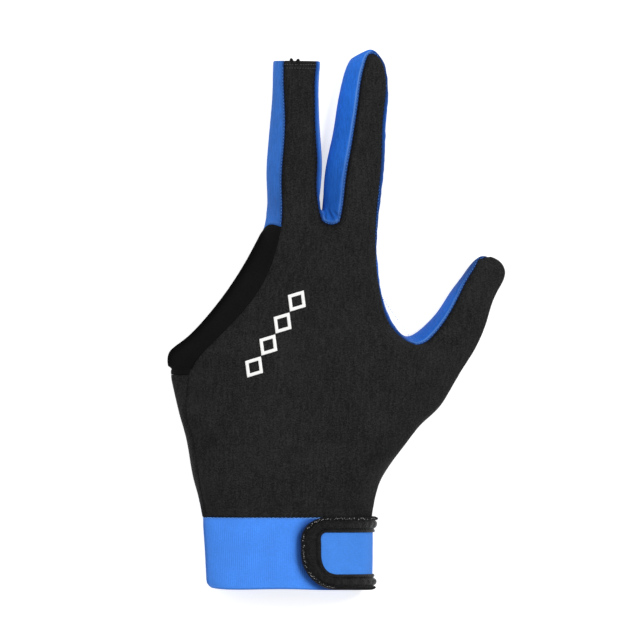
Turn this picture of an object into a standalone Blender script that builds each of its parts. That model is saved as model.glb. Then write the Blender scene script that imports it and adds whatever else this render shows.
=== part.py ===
"""Billiard glove for the left hand, lying palm down on a table.

It covers the thumb, the forefinger and the middle finger, whose tip is open, and the ring and
little fingers leave through a mouth on the little-finger side. Lengths are metres: X runs across
the hand towards the thumb, Y from the wrist to the fingertips, Z up. The knit skin is one smooth
surface drawn through sections of the hand and fingers, and its seams cut it into panels.
"""

import math
from collections import namedtuple

import bmesh
import bpy
import numpy as np
from mathutils import Vector

# Palm and wrist
PALM_LENGTH = 0.1200
PALM_WIDTH = 0.0980
PALM_HEIGHT = 0.0260
WRIST_WIDTH = 0.0688
WRIST_HEIGHT = 0.0285

# Fingers
MIDDLE_LENGTH = 0.0689
MIDDLE_WIDTH = 0.0214
MIDDLE_HEIGHT = 0.0150
MIDDLE_TILT = math.radians(0.7)
INDEX_LENGTH = 0.0709
INDEX_WIDTH = 0.0230
INDEX_HEIGHT = 0.0150
INDEX_TILT = math.radians(6.3)
THUMB_LENGTH = 0.0483
THUMB_WIDTH = 0.0205
THUMB_HEIGHT = 0.0165
THUMB_TILT = math.radians(31.8)

# Cloth
KNIT_WALL = 0.0012
CUFF_WALL = 0.0020
PIECE_GAP = 0.0003
SEAM_GAP = 0.0005
FLATTENED = 0.0003
FOLD_DEPTH = 0.0009

# Cuff
CUFF_LENGTH = 0.0297
CUFF_PULL = 0.0022
SLIT_WIDTH = 0.0035
SLIT_ANGLE = math.radians(-15)

# Strap that closes the cuff
STRAP_ROOT_ANGLE = math.radians(-31)
STRAP_REACH = 0.0472
STRAP_WALL = 0.0012
TAB_TOP_RADIUS = 0.0102
TAB_BOTTOM_RADIUS = 0.0148
BINDING_WIDTH = 0.0063
BINDING_END_WIDTH = 0.0080
BINDING_WALL = 0.0007
HOOK_LENGTH = 0.0220
HOOK_END_MARGIN = 0.0030
HOOK_SIDE_MARGIN = 0.0015

# Roundness of every section: an exponent of 1 is an ellipse, less is squarer
TOP_ROUNDNESS = 0.9
UNDER_ROUNDNESS = 0.6
UNDER_SEAM_ANGLE = math.radians(35)

# How far the binding's rim is rounded, as a share of its wall
RIM_ROUNDING = 0.25

# Fineness of the mesh
SURFACE_LEVEL = 1
FIT_ROUNDS = 16
CUFF_STEPS = 44
CUFF_ROWS = 4
STRAP_STEPS = 30
CORNER_STEPS = 5
PLATE_STEPS = 4
HOOK_STEPS = 7
WRAP_STEPS = 400
ANGLE_STEP = 0.001

# Where each finger starts, and the bottom of the cleft between forefinger and middle finger,
# as shares of the palm's width from its middle and of its length from the wrist
Start = namedtuple("Start", "across along")
MIDDLE_START = Start(0.029, 0.976)
INDEX_START = Start(0.264, 1.003)
THUMB_START = Start(0.603, 0.539)
CLEFT = Start(0.146, 1.055)
CLEFT_WIDTH = 0.0022

# Sections of a finger. Along and slant are shares of its length, the slant being how much
# further the right side lies than the left. Left, right and the two seams are shares of its
# width from its axis. Height is a share of its height.
Section = namedtuple("Section", "along slant left left_seam right_seam right height")
MIDDLE_SECTIONS = [
    Section(0.035, 0.07, -0.595, -0.253, 0.536, 0.640, 1.15),
    Section(0.25, 0.00, -0.519, -0.247, 0.430, 0.500, 1.03),
    Section(0.42, 0.00, -0.525, -0.238, 0.440, 0.515, 1.00),
    Section(0.60, 0.00, -0.482, -0.200, 0.400, 0.478, 0.98),
    Section(0.78, 0.00, -0.450, -0.220, 0.375, 0.440, 0.96),
    Section(0.90, 0.00, -0.435, -0.239, 0.380, 0.445, 0.95),
    Section(1.00, 0.00, -0.430, -0.239, 0.400, 0.462, 0.95),
]
INDEX_SECTIONS = [
    Section(-0.015, -0.07, -0.570, -0.196, 0.480, 0.490, 1.15),
    Section(0.20, 0.00, -0.520, -0.164, 0.458, 0.492, 1.03),
    Section(0.36, 0.00, -0.500, -0.148, 0.440, 0.478, 1.00),
    Section(0.52, 0.00, -0.460, -0.120, 0.408, 0.446, 0.98),
    Section(0.68, 0.00, -0.430, -0.100, 0.393, 0.437, 0.95),
    Section(0.82, 0.00, -0.390, -0.089, 0.368, 0.379, 0.90),
    Section(0.93, 0.00, -0.300, -0.050, 0.284, 0.293, 0.76),
]
THUMB_SECTIONS = [
    Section(0.033, -0.03, -0.630, -0.390, 0.592, 0.630, 1.20),
    Section(0.20, 0.00, -0.450, -0.204, 0.604, 0.640, 1.10),
    Section(0.38, 0.00, -0.382, -0.170, 0.580, 0.614, 1.03),
    Section(0.56, 0.00, -0.370, -0.186, 0.492, 0.520, 0.98),
    Section(0.73, 0.00, -0.344, -0.226, 0.410, 0.436, 0.92),
    Section(0.89, 0.00, -0.296, -0.230, 0.375, 0.405, 0.78),
]
WRIST_SECTION = Section(0.00, 0.00, -0.500, -0.479, 0.485, 0.500, 1.00)

# The two points that close a fingertip and the two above them that its seam passes through:
# shares of the finger's length, of its width and of the height of its last section
Tip = namedtuple("Tip", "along left right seam_along seam_left seam_right left_high right_high")
INDEX_TIP = Tip(0.996, -0.08, 0.115, 0.982, 0.012, 0.145, 0.81, 0.65)
THUMB_TIP = Tip(0.99, -0.08, 0.23, 0.950, -0.170, 0.220, 0.73, 0.81)

# Outline of the hand, row by row from the wrist to the knuckles: shares of the palm's width and
# length, and heights as shares of its height. On the little-finger side, the rows from
# MOUTH_ROW on are the mouth's two lips, and the ones before it the closed side of the hand.
Edge = namedtuple("Edge", "across along seam_across seam_along high low seam_high seam_low")
LEFT_EDGE = {
    1: Edge(-0.381, 0.096, -0.362, 0.096, 0.50, 0.50, 0.80, 0.10),
    2: Edge(-0.406, 0.191, -0.381, 0.191, 0.48, 0.48, 0.78, 0.09),
    3: Edge(-0.427, 0.283, -0.400, 0.282, 0.46, 0.46, 0.76, 0.08),
    4: Edge(-0.454, 0.369, -0.423, 0.367, 0.44, 0.44, 0.74, 0.08),
    5: Edge(-0.485, 0.483, -0.412, 0.482, 0.40, 0.40, 0.68, 0.07),
    6: Edge(-0.496, 0.512, -0.400, 0.504, 0.36, 0.36, 0.66, 0.06),
    7: Edge(-0.492, 0.555, -0.377, 0.535, 0.46, 0.24, 0.72, 0.04),
    8: Edge(-0.418, 0.608, -0.322, 0.584, 0.56, 0.14, 0.77, 0.01),
    9: Edge(-0.305, 0.707, -0.230, 0.659, 0.62, 0.07, 0.78, 0.00),
    10: Edge(-0.220, 0.801, -0.142, 0.745, 0.60, 0.08, 0.75, 0.00),
    11: Edge(-0.152, 0.895, -0.075, 0.844, 0.50, 0.14, 0.68, 0.02),
}
RIGHT_EDGE = {
    1: Edge(0.393, 0.130, 0.380, 0.128, 0.50, 0.50, 0.72, 0.12),
    2: Edge(0.473, 0.225, 0.460, 0.222, 0.48, 0.48, 0.70, 0.12),
    3: Edge(0.556, 0.311, 0.543, 0.307, 0.45, 0.45, 0.68, 0.10),
    4: Edge(0.640, 0.382, 0.628, 0.377, 0.42, 0.42, 0.66, 0.10),
    9: Edge(0.442, 0.655, 0.440, 0.644, 0.38, 0.38, 0.54, 0.08),
    10: Edge(0.388, 0.762, 0.392, 0.758, 0.35, 0.35, 0.47, 0.08),
    11: Edge(0.372, 0.868, 0.375, 0.868, 0.32, 0.32, 0.44, 0.08),
}
ROW_HEIGHTS = {
    1: 1.09, 2: 1.07, 3: 1.05, 4: 1.02, 5: 1.00, 6: 0.98,
    7: 0.96, 8: 0.93, 9: 0.89, 10: 0.85, 11: 0.77,
}
WRIST_ROW = 0
THUMB_LOW_ROW = 5
MOUTH_ROW = 6
THUMB_TOP_ROW = 8
KNUCKLE_ROW = 12
HAND_COLUMNS = range(1, 9)
MIDDLE_COLUMNS = range(1, 5)
INDEX_COLUMNS = range(5, 9)
CROWN_POWER = 2.6

# The sharpest corner at which a panel is drawn back by its full gap, as a share
MITRE_LIMIT = 0.4

# Shallow folds pressed into the back: ends as shares of the palm's width and length, width and
# depth as shares of the palm's height and of the fold depth
Fold = namedtuple("Fold", "across along to_across to_along width depth")
FOLDS = [
    Fold(0.47, 0.50, 0.36, 0.36, 0.30, 1.0),
    Fold(0.20, 0.98, 0.26, 0.90, 0.16, 0.8),
    Fold(-0.33, 0.08, -0.12, 0.05, 0.22, 0.7),
    Fold(0.36, 0.12, 0.18, 0.07, 0.24, 0.7),
]
# The share of a half wave at which a fold starts, and the share that it spans
FOLD_START = 0.15
FOLD_SPAN = 0.70

# Sections of the cuff: along is a share of its length from the knit, left and right are shares
# of the wrist's width, and pull is the share of the strap's pull that draws in the thumb side
CuffSection = namedtuple("CuffSection", "along left right pull")
CUFF_SECTIONS = [
    CuffSection(0.00, -0.500, 0.500, 0.5),
    CuffSection(0.12, -0.500, 0.500, 0.9),
    CuffSection(0.45, -0.490, 0.500, 1.0),
    CuffSection(1.00, -0.478, 0.500, 1.0),
]

# Panels, in the order of their numbers on the skin
PANELS = ["back_panel", "palm_panel", "finger_gusset", "middle_gusset", "opening_band"]
BACK, PALM, GUSSET, MIDDLE_GUSSET, BAND = range(5)
MIDDLE_SIDES = {3: GUSSET, 4: GUSSET, 8: MIDDLE_GUSSET, 9: MIDDLE_GUSSET}
INDEX_SIDES = {3: GUSSET, 4: GUSSET, 8: GUSSET, 9: GUSSET}
THUMB_SIDES = {3: BACK, 4: PALM, 8: GUSSET, 9: GUSSET}

BLACK_KNIT = (0.020, 0.020, 0.021)
BLACK_BAND = (0.006, 0.006, 0.007)
BLUE_KNIT = (0.020, 0.130, 0.600)
BLUE_ELASTIC = (0.060, 0.260, 0.870)
BLACK_HOOK = (0.012, 0.012, 0.012)


def clear_scene():
    for thing in list(bpy.data.objects):
        bpy.data.objects.remove(thing, do_unlink=True)


def cloth(name, colour, roughness):
    material = bpy.data.materials.new(name)
    material.use_nodes = True
    shader = material.node_tree.nodes["Principled BSDF"]
    shader.inputs["Base Color"].default_value = (*colour, 1.0)
    shader.inputs["Roughness"].default_value = roughness
    shader.inputs["Metallic"].default_value = 0.0
    material.diffuse_color = (*colour, 1.0)
    return material


def add_object(name, mesh, collection, parent, material):
    made = bpy.data.objects.new(name, mesh)
    mesh.materials.clear()
    mesh.materials.append(material)
    mesh.shade_smooth()
    collection.objects.link(made)
    made.parent = parent
    return made


def section_point(middle, half, height, angle):
    """A point of a section: how far across it lies and how high. Angle 0 is its right side."""
    rise = math.sin(angle)
    power = TOP_ROUNDNESS if rise > 0 else UNDER_ROUNDNESS
    lift = math.copysign(abs(rise) ** power, rise)
    return middle + half * math.cos(angle), 0.5 * height * (1 + lift)


def ring(section, width, height, count):
    """Points of one section as (across, height): top row, right side, under row, left side."""
    middle = 0.5 * (section.left + section.right) * width
    half = 0.5 * (section.right - section.left) * width
    tall = section.height * height

    def angle_at(seam):
        return math.acos(max(-1.0, min(1.0, (seam * width - middle) / half)))

    over = np.linspace(angle_at(section.left_seam), angle_at(section.right_seam), count)
    under = np.linspace(UNDER_SEAM_ANGLE - math.pi, -UNDER_SEAM_ANGLE, count)
    top = [section_point(middle, half, tall, angle) for angle in over]
    low = [section_point(middle, half, tall, angle) for angle in under]
    right = section_point(middle, half, tall, 0.0)
    left = section_point(middle, half, tall, math.pi)
    return top, right, low, left


class Finger:
    """A finger's place in the plan, and the points of its sections in space."""

    def __init__(self, start, tilt, length, width, height, sections):
        self.base = Vector((start.across * PALM_WIDTH, start.along * PALM_LENGTH, 0.0))
        self.forward = Vector((math.sin(tilt), math.cos(tilt), 0.0))
        self.across = Vector((math.cos(tilt), -math.sin(tilt), 0.0))
        self.length = length
        self.width = width
        self.height = height
        self.sections = sections

    def place(self, along, offset, height):
        flat = self.base + self.forward * (along * self.length) + self.across * offset
        return Vector((flat.x, flat.y, height))

    def ring(self, section):
        """Top row, right side, under row and left side of a section, in space."""
        span = (section.right - section.left) * self.width

        def lay(point):
            along = section.along + section.slant * point[0] / span
            return self.place(along, point[0], point[1])

        top, right, low, left = ring(section, self.width, self.height, len(MIDDLE_COLUMNS))
        return [lay(p) for p in top], lay(right), [lay(p) for p in low], lay(left)

    def tip(self, tip):
        """The two end points of a fingertip, then the two on its seam, each from left to right."""
        tall = self.sections[-1].height * self.height
        return [
            self.place(along, across * self.width, high * tall)
            for along, across, high in (
                (tip.along, tip.left, 0.5),
                (tip.along, tip.right, 0.5),
                (tip.seam_along, tip.seam_left, tip.left_high),
                (tip.seam_along, tip.seam_right, tip.right_high),
            )
        ]


def coons(bottom, top, left, right):
    """Points of a sheet spanned by its four edges, as [row][column]."""
    rows, columns = len(left), len(bottom)
    sheet = []
    for r in range(rows):
        v = r / (rows - 1)
        line = []
        for c in range(columns):
            u = c / (columns - 1)
            along = bottom[c] * (1 - v) + top[c] * v
            across = left[r] * (1 - u) + right[r] * u
            corners = (bottom[0] * (1 - u) + bottom[-1] * u) * (1 - v)
            corners = corners + (top[0] * (1 - u) + top[-1] * u) * v
            line.append(along + across - corners)
        sheet.append(line)
    return sheet


class Cage:
    """The skin's control faces, with the points that the smooth surface passes through."""

    def __init__(self):
        self.points = []
        self.faces = []
        self.panels = []

    def add(self, point):
        self.points.append(tuple(point))
        return len(self.points) - 1

    def face(self, corners, panel):
        self.faces.append(tuple(corners))
        self.panels.append(panel)

    def strip(self, first, second, panels):
        """Faces between two closed loops of points."""
        count = len(first)
        for k in range(count):
            n = (k + 1) % count
            self.face((first[k], first[n], second[n], second[k]), panels[k])

    def loop(self, points):
        """The points of a ring in their order round it."""
        top, right, low, left = points
        return [self.add(p) for p in [*top, right, *reversed(low), left]]


def hand_fingers():
    middle = Finger(
        MIDDLE_START, MIDDLE_TILT, MIDDLE_LENGTH, MIDDLE_WIDTH, MIDDLE_HEIGHT, MIDDLE_SECTIONS
    )
    index = Finger(INDEX_START, INDEX_TILT, INDEX_LENGTH, INDEX_WIDTH, INDEX_HEIGHT, INDEX_SECTIONS)
    thumb = Finger(THUMB_START, THUMB_TILT, THUMB_LENGTH, THUMB_WIDTH, THUMB_HEIGHT, THUMB_SECTIONS)
    return middle, index, thumb


def on_palm(across, along, height):
    return Vector((across * PALM_WIDTH, along * PALM_LENGTH, height * PALM_HEIGHT))


def side_labels(sides):
    """The panel of each face round a finger: three over it, three under it, two on each side."""
    return [BACK] * 3 + [sides[3], sides[4]] + [PALM] * 3 + [sides[8], sides[9]]


def grow_finger(cage, finger, base_loop, sides, tip):
    labels = side_labels(sides)
    previous = base_loop
    for section in finger.sections[1:]:
        current = cage.loop(finger.ring(section))
        cage.strip(previous, current, labels)
        previous = current
    if tip is None:
        return
    near, far, crest, brow = (cage.add(p) for p in finger.tip(tip))
    t0, t1, t2, t3, right, b3, b2, b1, b0, left = previous
    cage.face((t0, crest, near, left), sides[9])
    cage.face((t0, t1, crest), BACK)
    cage.face((t1, t2, brow, crest), BACK)
    cage.face((t2, t3, brow), BACK)
    cage.face((t3, right, far, brow), sides[3])
    cage.face((crest, brow, far, near), sides[3])
    cage.face((right, b3, b2, far), sides[4])
    cage.face((far, b2, b1, near), sides[4])
    cage.face((near, b1, b0, left), sides[8])


def hand_cage():
    """The whole skin: the hand's two sheets and its sides, then the three fingers."""
    cage = Cage()
    middle, index, thumb = hand_fingers()
    wrist = ring(WRIST_SECTION, WRIST_WIDTH, WRIST_HEIGHT, len(HAND_COLUMNS))
    middle_base = middle.ring(MIDDLE_SECTIONS[0])
    index_base = index.ring(INDEX_SECTIONS[0])
    thumb_base = thumb.ring(THUMB_SECTIONS[0])
    rows = range(KNUCKLE_ROW + 1)
    thumb_rows = range(THUMB_TOP_ROW, THUMB_LOW_ROW - 1, -1)

    def sheet(part, seam_height):
        """One sheet of the hand, part 0 of each ring being its top row and part 2 its under row."""
        bottom = [Vector((x, 0.0, z)) for x, z in wrist[part]]
        top = [*middle_base[part], *index_base[part]]
        left = [bottom[0], *(seam(LEFT_EDGE[r], seam_height) for r in rows[1:-1]), top[0]]
        thumb_points = dict(zip(thumb_rows, thumb_base[part]))
        right = [bottom[-1]]
        for r in rows[1:-1]:
            right.append(thumb_points[r] if r in thumb_points else seam(RIGHT_EDGE[r], seam_height))
        right.append(top[-1])
        return coons(bottom, top, left, right)

    def seam(edge, seam_height):
        return on_palm(edge.seam_across, edge.seam_along, getattr(edge, seam_height))

    over, under = sheet(0, "seam_high"), sheet(2, "seam_low")
    for r in rows[1:-1]:
        for c in range(1, len(HAND_COLUMNS) - 1):
            u = c / (len(HAND_COLUMNS) - 1)
            crown = 1 - abs(2 * u - 1) ** CROWN_POWER
            crest = ROW_HEIGHTS[r] * PALM_HEIGHT
            over[r][c].z += (crest - over[r][c].z) * crown
            under[r][c].z *= 1 - crown
    top = [[None, *(cage.add(p) for p in line)] for line in over]
    low = [[None, *(cage.add(p) for p in line)] for line in under]

    left_wrist = cage.add((wrist[3][0], 0.0, wrist[3][1]))
    right_wrist = cage.add((wrist[1][0], 0.0, wrist[1][1]))
    left_high, left_low = {WRIST_ROW: left_wrist}, {WRIST_ROW: left_wrist}
    for r, edge in LEFT_EDGE.items():
        left_high[r] = cage.add(on_palm(edge.across, edge.along, edge.high))
        left_low[r] = left_high[r]
        if r > MOUTH_ROW:
            left_low[r] = cage.add(on_palm(edge.across, edge.along, edge.low))
    left_high[KNUCKLE_ROW] = left_low[KNUCKLE_ROW] = cage.add(middle_base[3])
    right = {WRIST_ROW: right_wrist}
    for r, edge in RIGHT_EDGE.items():
        right[r] = cage.add(on_palm(edge.across, edge.along, edge.high))
    right[THUMB_LOW_ROW] = cage.add(thumb_base[1])
    right[THUMB_TOP_ROW] = cage.add(thumb_base[3])
    right[KNUCKLE_ROW] = cage.add(index_base[1])

    for r in rows[:-1]:
        for c in HAND_COLUMNS[:-1]:
            cage.face((top[r][c], top[r][c + 1], top[r + 1][c + 1], top[r + 1][c]), BACK)
            cage.face((low[r][c + 1], low[r][c], low[r + 1][c], low[r + 1][c + 1]), PALM)
        label = BAND if r >= MOUTH_ROW - 1 else PALM
        cage.face((left_high[r], top[r][1], top[r + 1][1], left_high[r + 1]), label)
        cage.face((low[r][1], left_low[r], left_low[r + 1], low[r + 1][1]), label)
        if THUMB_LOW_ROW <= r < THUMB_TOP_ROW:
            continue
        upper, lower = (BACK, PALM) if r < THUMB_LOW_ROW else (GUSSET, GUSSET)
        cage.face((top[r][8], right[r], right[r + 1], top[r + 1][8]), upper)
        cage.face((right[r], low[r][8], low[r + 1][8], right[r + 1]), lower)

    cleft = Vector((CLEFT.across * PALM_WIDTH, CLEFT.along * PALM_LENGTH, middle_base[1].z))
    half = Vector((0.5 * CLEFT_WIDTH, 0.0, 0.0))
    cleft_left, cleft_right = cage.add(cleft - half), cage.add(cleft + half)
    knuckles, under_knuckles = top[KNUCKLE_ROW], low[KNUCKLE_ROW]
    cage.face((knuckles[4], knuckles[5], cleft_right, cleft_left), GUSSET)
    cage.face((cleft_left, cleft_right, under_knuckles[5], under_knuckles[4]), GUSSET)

    middle_loop = [
        *(knuckles[c] for c in MIDDLE_COLUMNS), cleft_left,
        *(under_knuckles[c] for c in reversed(MIDDLE_COLUMNS)), left_high[KNUCKLE_ROW],
    ]
    index_loop = [
        *(knuckles[c] for c in INDEX_COLUMNS), right[KNUCKLE_ROW],
        *(under_knuckles[c] for c in reversed(INDEX_COLUMNS)), cleft_right,
    ]
    thumb_loop = [
        *(top[r][8] for r in thumb_rows), right[THUMB_LOW_ROW],
        *(low[r][8] for r in reversed(thumb_rows)), right[THUMB_TOP_ROW],
    ]
    grow_finger(cage, middle, middle_loop, MIDDLE_SIDES, None)
    grow_finger(cage, index, index_loop, INDEX_SIDES, INDEX_TIP)
    grow_finger(cage, thumb, thumb_loop, THUMB_SIDES, THUMB_TIP)
    return cage


def smooth_skin(cage):
    """The smooth surface through the cage's points, with each face's panel as its material."""
    mesh = bpy.data.meshes.new("skin")
    mesh.from_pydata(cage.points, [], cage.faces)
    mesh.polygons.foreach_set("material_index", cage.panels)
    helper = bpy.data.objects.new("skin", mesh)
    bpy.context.scene.collection.objects.link(helper)
    smooth = helper.modifiers.new("smooth", "SUBSURF")
    smooth.levels = smooth.render_levels = SURFACE_LEVEL
    target = np.array(cage.points)
    control = target.copy()
    for _ in range(FIT_ROUNDS):
        mesh.vertices.foreach_set("co", control.ravel())
        mesh.update()
        bpy.context.view_layer.update()
        seen = helper.evaluated_get(bpy.context.evaluated_depsgraph_get())
        reached = np.empty(len(seen.data.vertices) * 3)
        seen.data.vertices.foreach_get("co", reached)
        control += target - reached.reshape(-1, 3)[: len(target)]
    mesh.vertices.foreach_set("co", control.ravel())
    mesh.update()
    bpy.context.view_layer.update()
    seen = helper.evaluated_get(bpy.context.evaluated_depsgraph_get())
    skin = bpy.data.meshes.new_from_object(seen)
    bpy.data.objects.remove(helper, do_unlink=True)
    press_folds(skin)
    for vertex in skin.vertices:
        if vertex.co.z < FLATTENED:
            vertex.co.z = 0.0
    skin.update()
    return skin


def press_folds(skin):
    """Shallow valleys in the upper side, each fading towards its ends and its sides."""
    for vertex in skin.vertices:
        if vertex.normal.z <= 0:
            continue
        for fold in FOLDS:
            start = Vector((fold.across * PALM_WIDTH, fold.along * PALM_LENGTH))
            end = Vector((fold.to_across * PALM_WIDTH, fold.to_along * PALM_LENGTH))
            line = end - start
            away = vertex.co.xy - start
            share = max(0.0, min(1.0, away.dot(line) / line.length_squared))
            distance = (away - line * share).length / (fold.width * PALM_HEIGHT)
            fade = math.sin(math.pi * (FOLD_START + FOLD_SPAN * share))
            press = fold.depth * FOLD_DEPTH * fade * math.exp(-distance * distance)
            vertex.co.z -= press * vertex.normal.z


def panel_corners(skin, faces):
    """One number for each face corner, so that faces meeting only at a point stay apart there."""
    fans = {}
    for f in faces:
        for v in f.vertices:
            fans.setdefault(v, []).append(f)
    corner_of, sources = {}, []
    for v, around in fans.items():
        groups = []
        for f in around:
            edges = {tuple(sorted(key)) for key in f.edge_keys if v in key}
            joined = [g for g in groups if g[0] & edges]
            for g in joined:
                groups.remove(g)
                edges |= g[0]
            groups.append((edges, [f, *(other for g in joined for other in g[1])]))
        for _, members in groups:
            for f in members:
                corner_of[f.index, v] = len(sources)
            sources.append((v, len(groups) > 1))
    return corner_of, sources


def make_panel(skin, number, wall):
    """A panel of the skin as a closed shell, drawn back from its seams by half the seam gap."""
    faces = [f for f in skin.polygons if f.material_index == number]
    corner_of, sources = panel_corners(skin, faces)
    uses = {}
    for f in skin.polygons:
        for key in f.edge_keys:
            uses[key] = uses.get(key, 0) + 1
    own = {}
    for f in faces:
        loop = [corner_of[f.index, v] for v in f.vertices]
        ends = zip(loop, loop[1:] + loop[:1], f.vertices, [*f.vertices[1:], f.vertices[0]])
        for a, b, va, vb in ends:
            users = uses[tuple(sorted((va, vb)))]
            own.setdefault(tuple(sorted((a, b))), []).append((f, a, b, users))
    rims = [sides[0] for sides in own.values() if len(sides) == 1]

    points = [skin.vertices[v].co.copy() for v, _ in sources]
    normals = [skin.vertices[v].normal.copy() for v, _ in sources]
    inward = {}
    for f, a, b, users in rims:
        for corner in (a, b):
            if users > 1 or sources[corner][1]:
                edge = (points[b] - points[a]).normalized()
                side = normals[corner].cross(edge).normalized()
                inward.setdefault(corner, []).append(side)
    moved = {}
    for corner, sides in inward.items():
        total = sum(sides, Vector())
        share = 1 + sides[0].dot(sides[-1]) if len(sides) > 1 else 1.0
        moved[corner] = total * (0.5 * SEAM_GAP / max(share, MITRE_LIMIT))
    outer = [p + moved.get(i, Vector()) for i, p in enumerate(points)]
    for p in outer:
        p.z = max(p.z, 0.0)
    inner = [p - n * wall for p, n in zip(outer, normals)]

    shell = bmesh.new()
    out = [shell.verts.new(p) for p in outer]
    back = [shell.verts.new(p) for p in inner]
    for f in faces:
        loop = [corner_of[f.index, v] for v in f.vertices]
        shell.faces.new([out[i] for i in loop])
        shell.faces.new([back[i] for i in reversed(loop)])
    for _, a, b, _ in rims:
        shell.faces.new((out[b], out[a], back[a], back[b]))
    mesh = bpy.data.meshes.new(PANELS[number])
    shell.to_mesh(mesh)
    shell.free()
    return mesh


def cuff_size(along):
    """Middle, half width and height of the cuff's outside at a share of its length."""
    shares = [s.along for s in CUFF_SECTIONS]
    left = np.interp(along, shares, [s.left for s in CUFF_SECTIONS]) * WRIST_WIDTH
    right = np.interp(along, shares, [s.right for s in CUFF_SECTIONS]) * WRIST_WIDTH
    right -= np.interp(along, shares, [s.pull for s in CUFF_SECTIONS]) * CUFF_PULL
    return 0.5 * (left + right), 0.5 * (right - left), WRIST_HEIGHT


def cuff_point(angle, along, lift):
    """A point over the cuff: lift is its distance out from the cuff's outside."""
    middle, half, height = cuff_size(along)
    x0, z0 = section_point(middle, half, height, angle - ANGLE_STEP)
    x1, z1 = section_point(middle, half, height, angle + ANGLE_STEP)
    x, z = section_point(middle, half, height, angle)
    out = Vector((z1 - z0, x0 - x1)).normalized()
    y = -PIECE_GAP - along * CUFF_LENGTH
    return Vector((x + out.x * lift, y, max(0.0, z + out.y * lift)))


def make_cuff():
    """An elastic band round the wrist, slit on the thumb side where the strap bridges it."""
    half_slit = 0.5 * SLIT_WIDTH / (0.5 * WRIST_HEIGHT)
    angles = np.linspace(SLIT_ANGLE + half_slit, SLIT_ANGLE - half_slit + 2 * math.pi, CUFF_STEPS)
    shell = bmesh.new()
    layers = []
    for lift in (0.0, -CUFF_WALL):
        rows = []
        for r in range(CUFF_ROWS + 1):
            along = r / CUFF_ROWS
            row = []
            for angle in angles:
                point = cuff_point(angle, along, lift)
                point.z = max(point.z, -lift)
                row.append(shell.verts.new(point))
            rows.append(row)
        layers.append(rows)
    close_layers(shell, layers)
    mesh = bpy.data.meshes.new("wrist_cuff")
    shell.to_mesh(mesh)
    shell.free()
    return mesh


def close_layers(shell, layers):
    """Faces of a slab whose two layers are grids of points, and of its rim."""
    outer, inner = layers
    rows, columns = len(outer), len(outer[0])
    for r in range(rows - 1):
        for c in range(columns - 1):
            shell.faces.new((outer[r][c], outer[r][c + 1], outer[r + 1][c + 1], outer[r + 1][c]))
            shell.faces.new((inner[r][c + 1], inner[r][c], inner[r + 1][c], inner[r + 1][c + 1]))
    border = [(0, c) for c in range(columns)]
    border += [(r, columns - 1) for r in range(1, rows)]
    border += [(rows - 1, c) for c in range(columns - 2, -1, -1)]
    border += [(r, 0) for r in range(rows - 2, 0, -1)]
    for (r0, c0), (r1, c1) in zip(border, border[1:] + border[:1]):
        shell.faces.new((outer[r1][c1], outer[r0][c0], inner[r0][c0], inner[r1][c1]))
    bmesh.ops.recalc_face_normals(shell, faces=shell.faces)


class Wrap:
    """Distance round the outside of the cuff, measured from the strap's root to its tab."""

    def __init__(self, lift):
        self.angles = np.linspace(STRAP_ROOT_ANGLE, STRAP_ROOT_ANGLE + math.pi, WRAP_STEPS)
        line = [cuff_point(angle, 0.5, lift) for angle in self.angles]
        steps = [(b - a).length for a, b in zip(line, line[1:])]
        self.distances = np.concatenate([[0.0], np.cumsum(steps)])

    def point(self, distance, along, lift):
        angle = float(np.interp(distance, self.distances, self.angles))
        return cuff_point(angle, along, lift)


def strap_levels():
    """Distances out from the cuff of each layer of the strap, from and to."""
    under = (PIECE_GAP, PIECE_GAP + BINDING_WALL)
    core = (under[1] + PIECE_GAP, under[1] + PIECE_GAP + STRAP_WALL)
    over = (core[1] + PIECE_GAP, core[1] + PIECE_GAP + BINDING_WALL)
    return under, core, over


def tab_outline():
    """Points of the strap's edge as (distance, down), from the root along the knit-side edge,
    round the tab and back along the free edge. Down is measured from the knit-side edge."""
    top, low, width = TAB_TOP_RADIUS, TAB_BOTTOM_RADIUS, CUFF_LENGTH
    points = [(d, 0.0) for d in np.linspace(0.0, STRAP_REACH - top, STRAP_STEPS)]
    for turn in np.linspace(0, math.pi / 2, CORNER_STEPS + 1)[1:]:
        points.append((STRAP_REACH - top + top * math.sin(turn), top - top * math.cos(turn)))
    for turn in np.linspace(0, math.pi / 2, CORNER_STEPS + 1):
        points.append((STRAP_REACH - low + low * math.cos(turn), width - low + low * math.sin(turn)))
    points += [(d, width) for d in np.linspace(STRAP_REACH - low, 0.0, STRAP_STEPS)[1:]]
    return [Vector(p) for p in points]


def inward_directions(outline):
    """The direction square to the outline into the tab, at each of its points."""
    found = []
    last = len(outline) - 1
    for k in range(len(outline)):
        along = (outline[min(k + 1, last)] - outline[max(k - 1, 0)]).normalized()
        found.append(Vector((-along.y, along.x)))
    return found


def binding_width_at(outline, k):
    """The binding is wider round the end of the tab than along its edges."""
    reach = (outline[k].x - (STRAP_REACH - TAB_TOP_RADIUS)) / TAB_TOP_RADIUS
    share = max(0.0, min(1.0, reach))
    return BINDING_WIDTH + (BINDING_END_WIDTH - BINDING_WIDTH) * share * share


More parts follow.
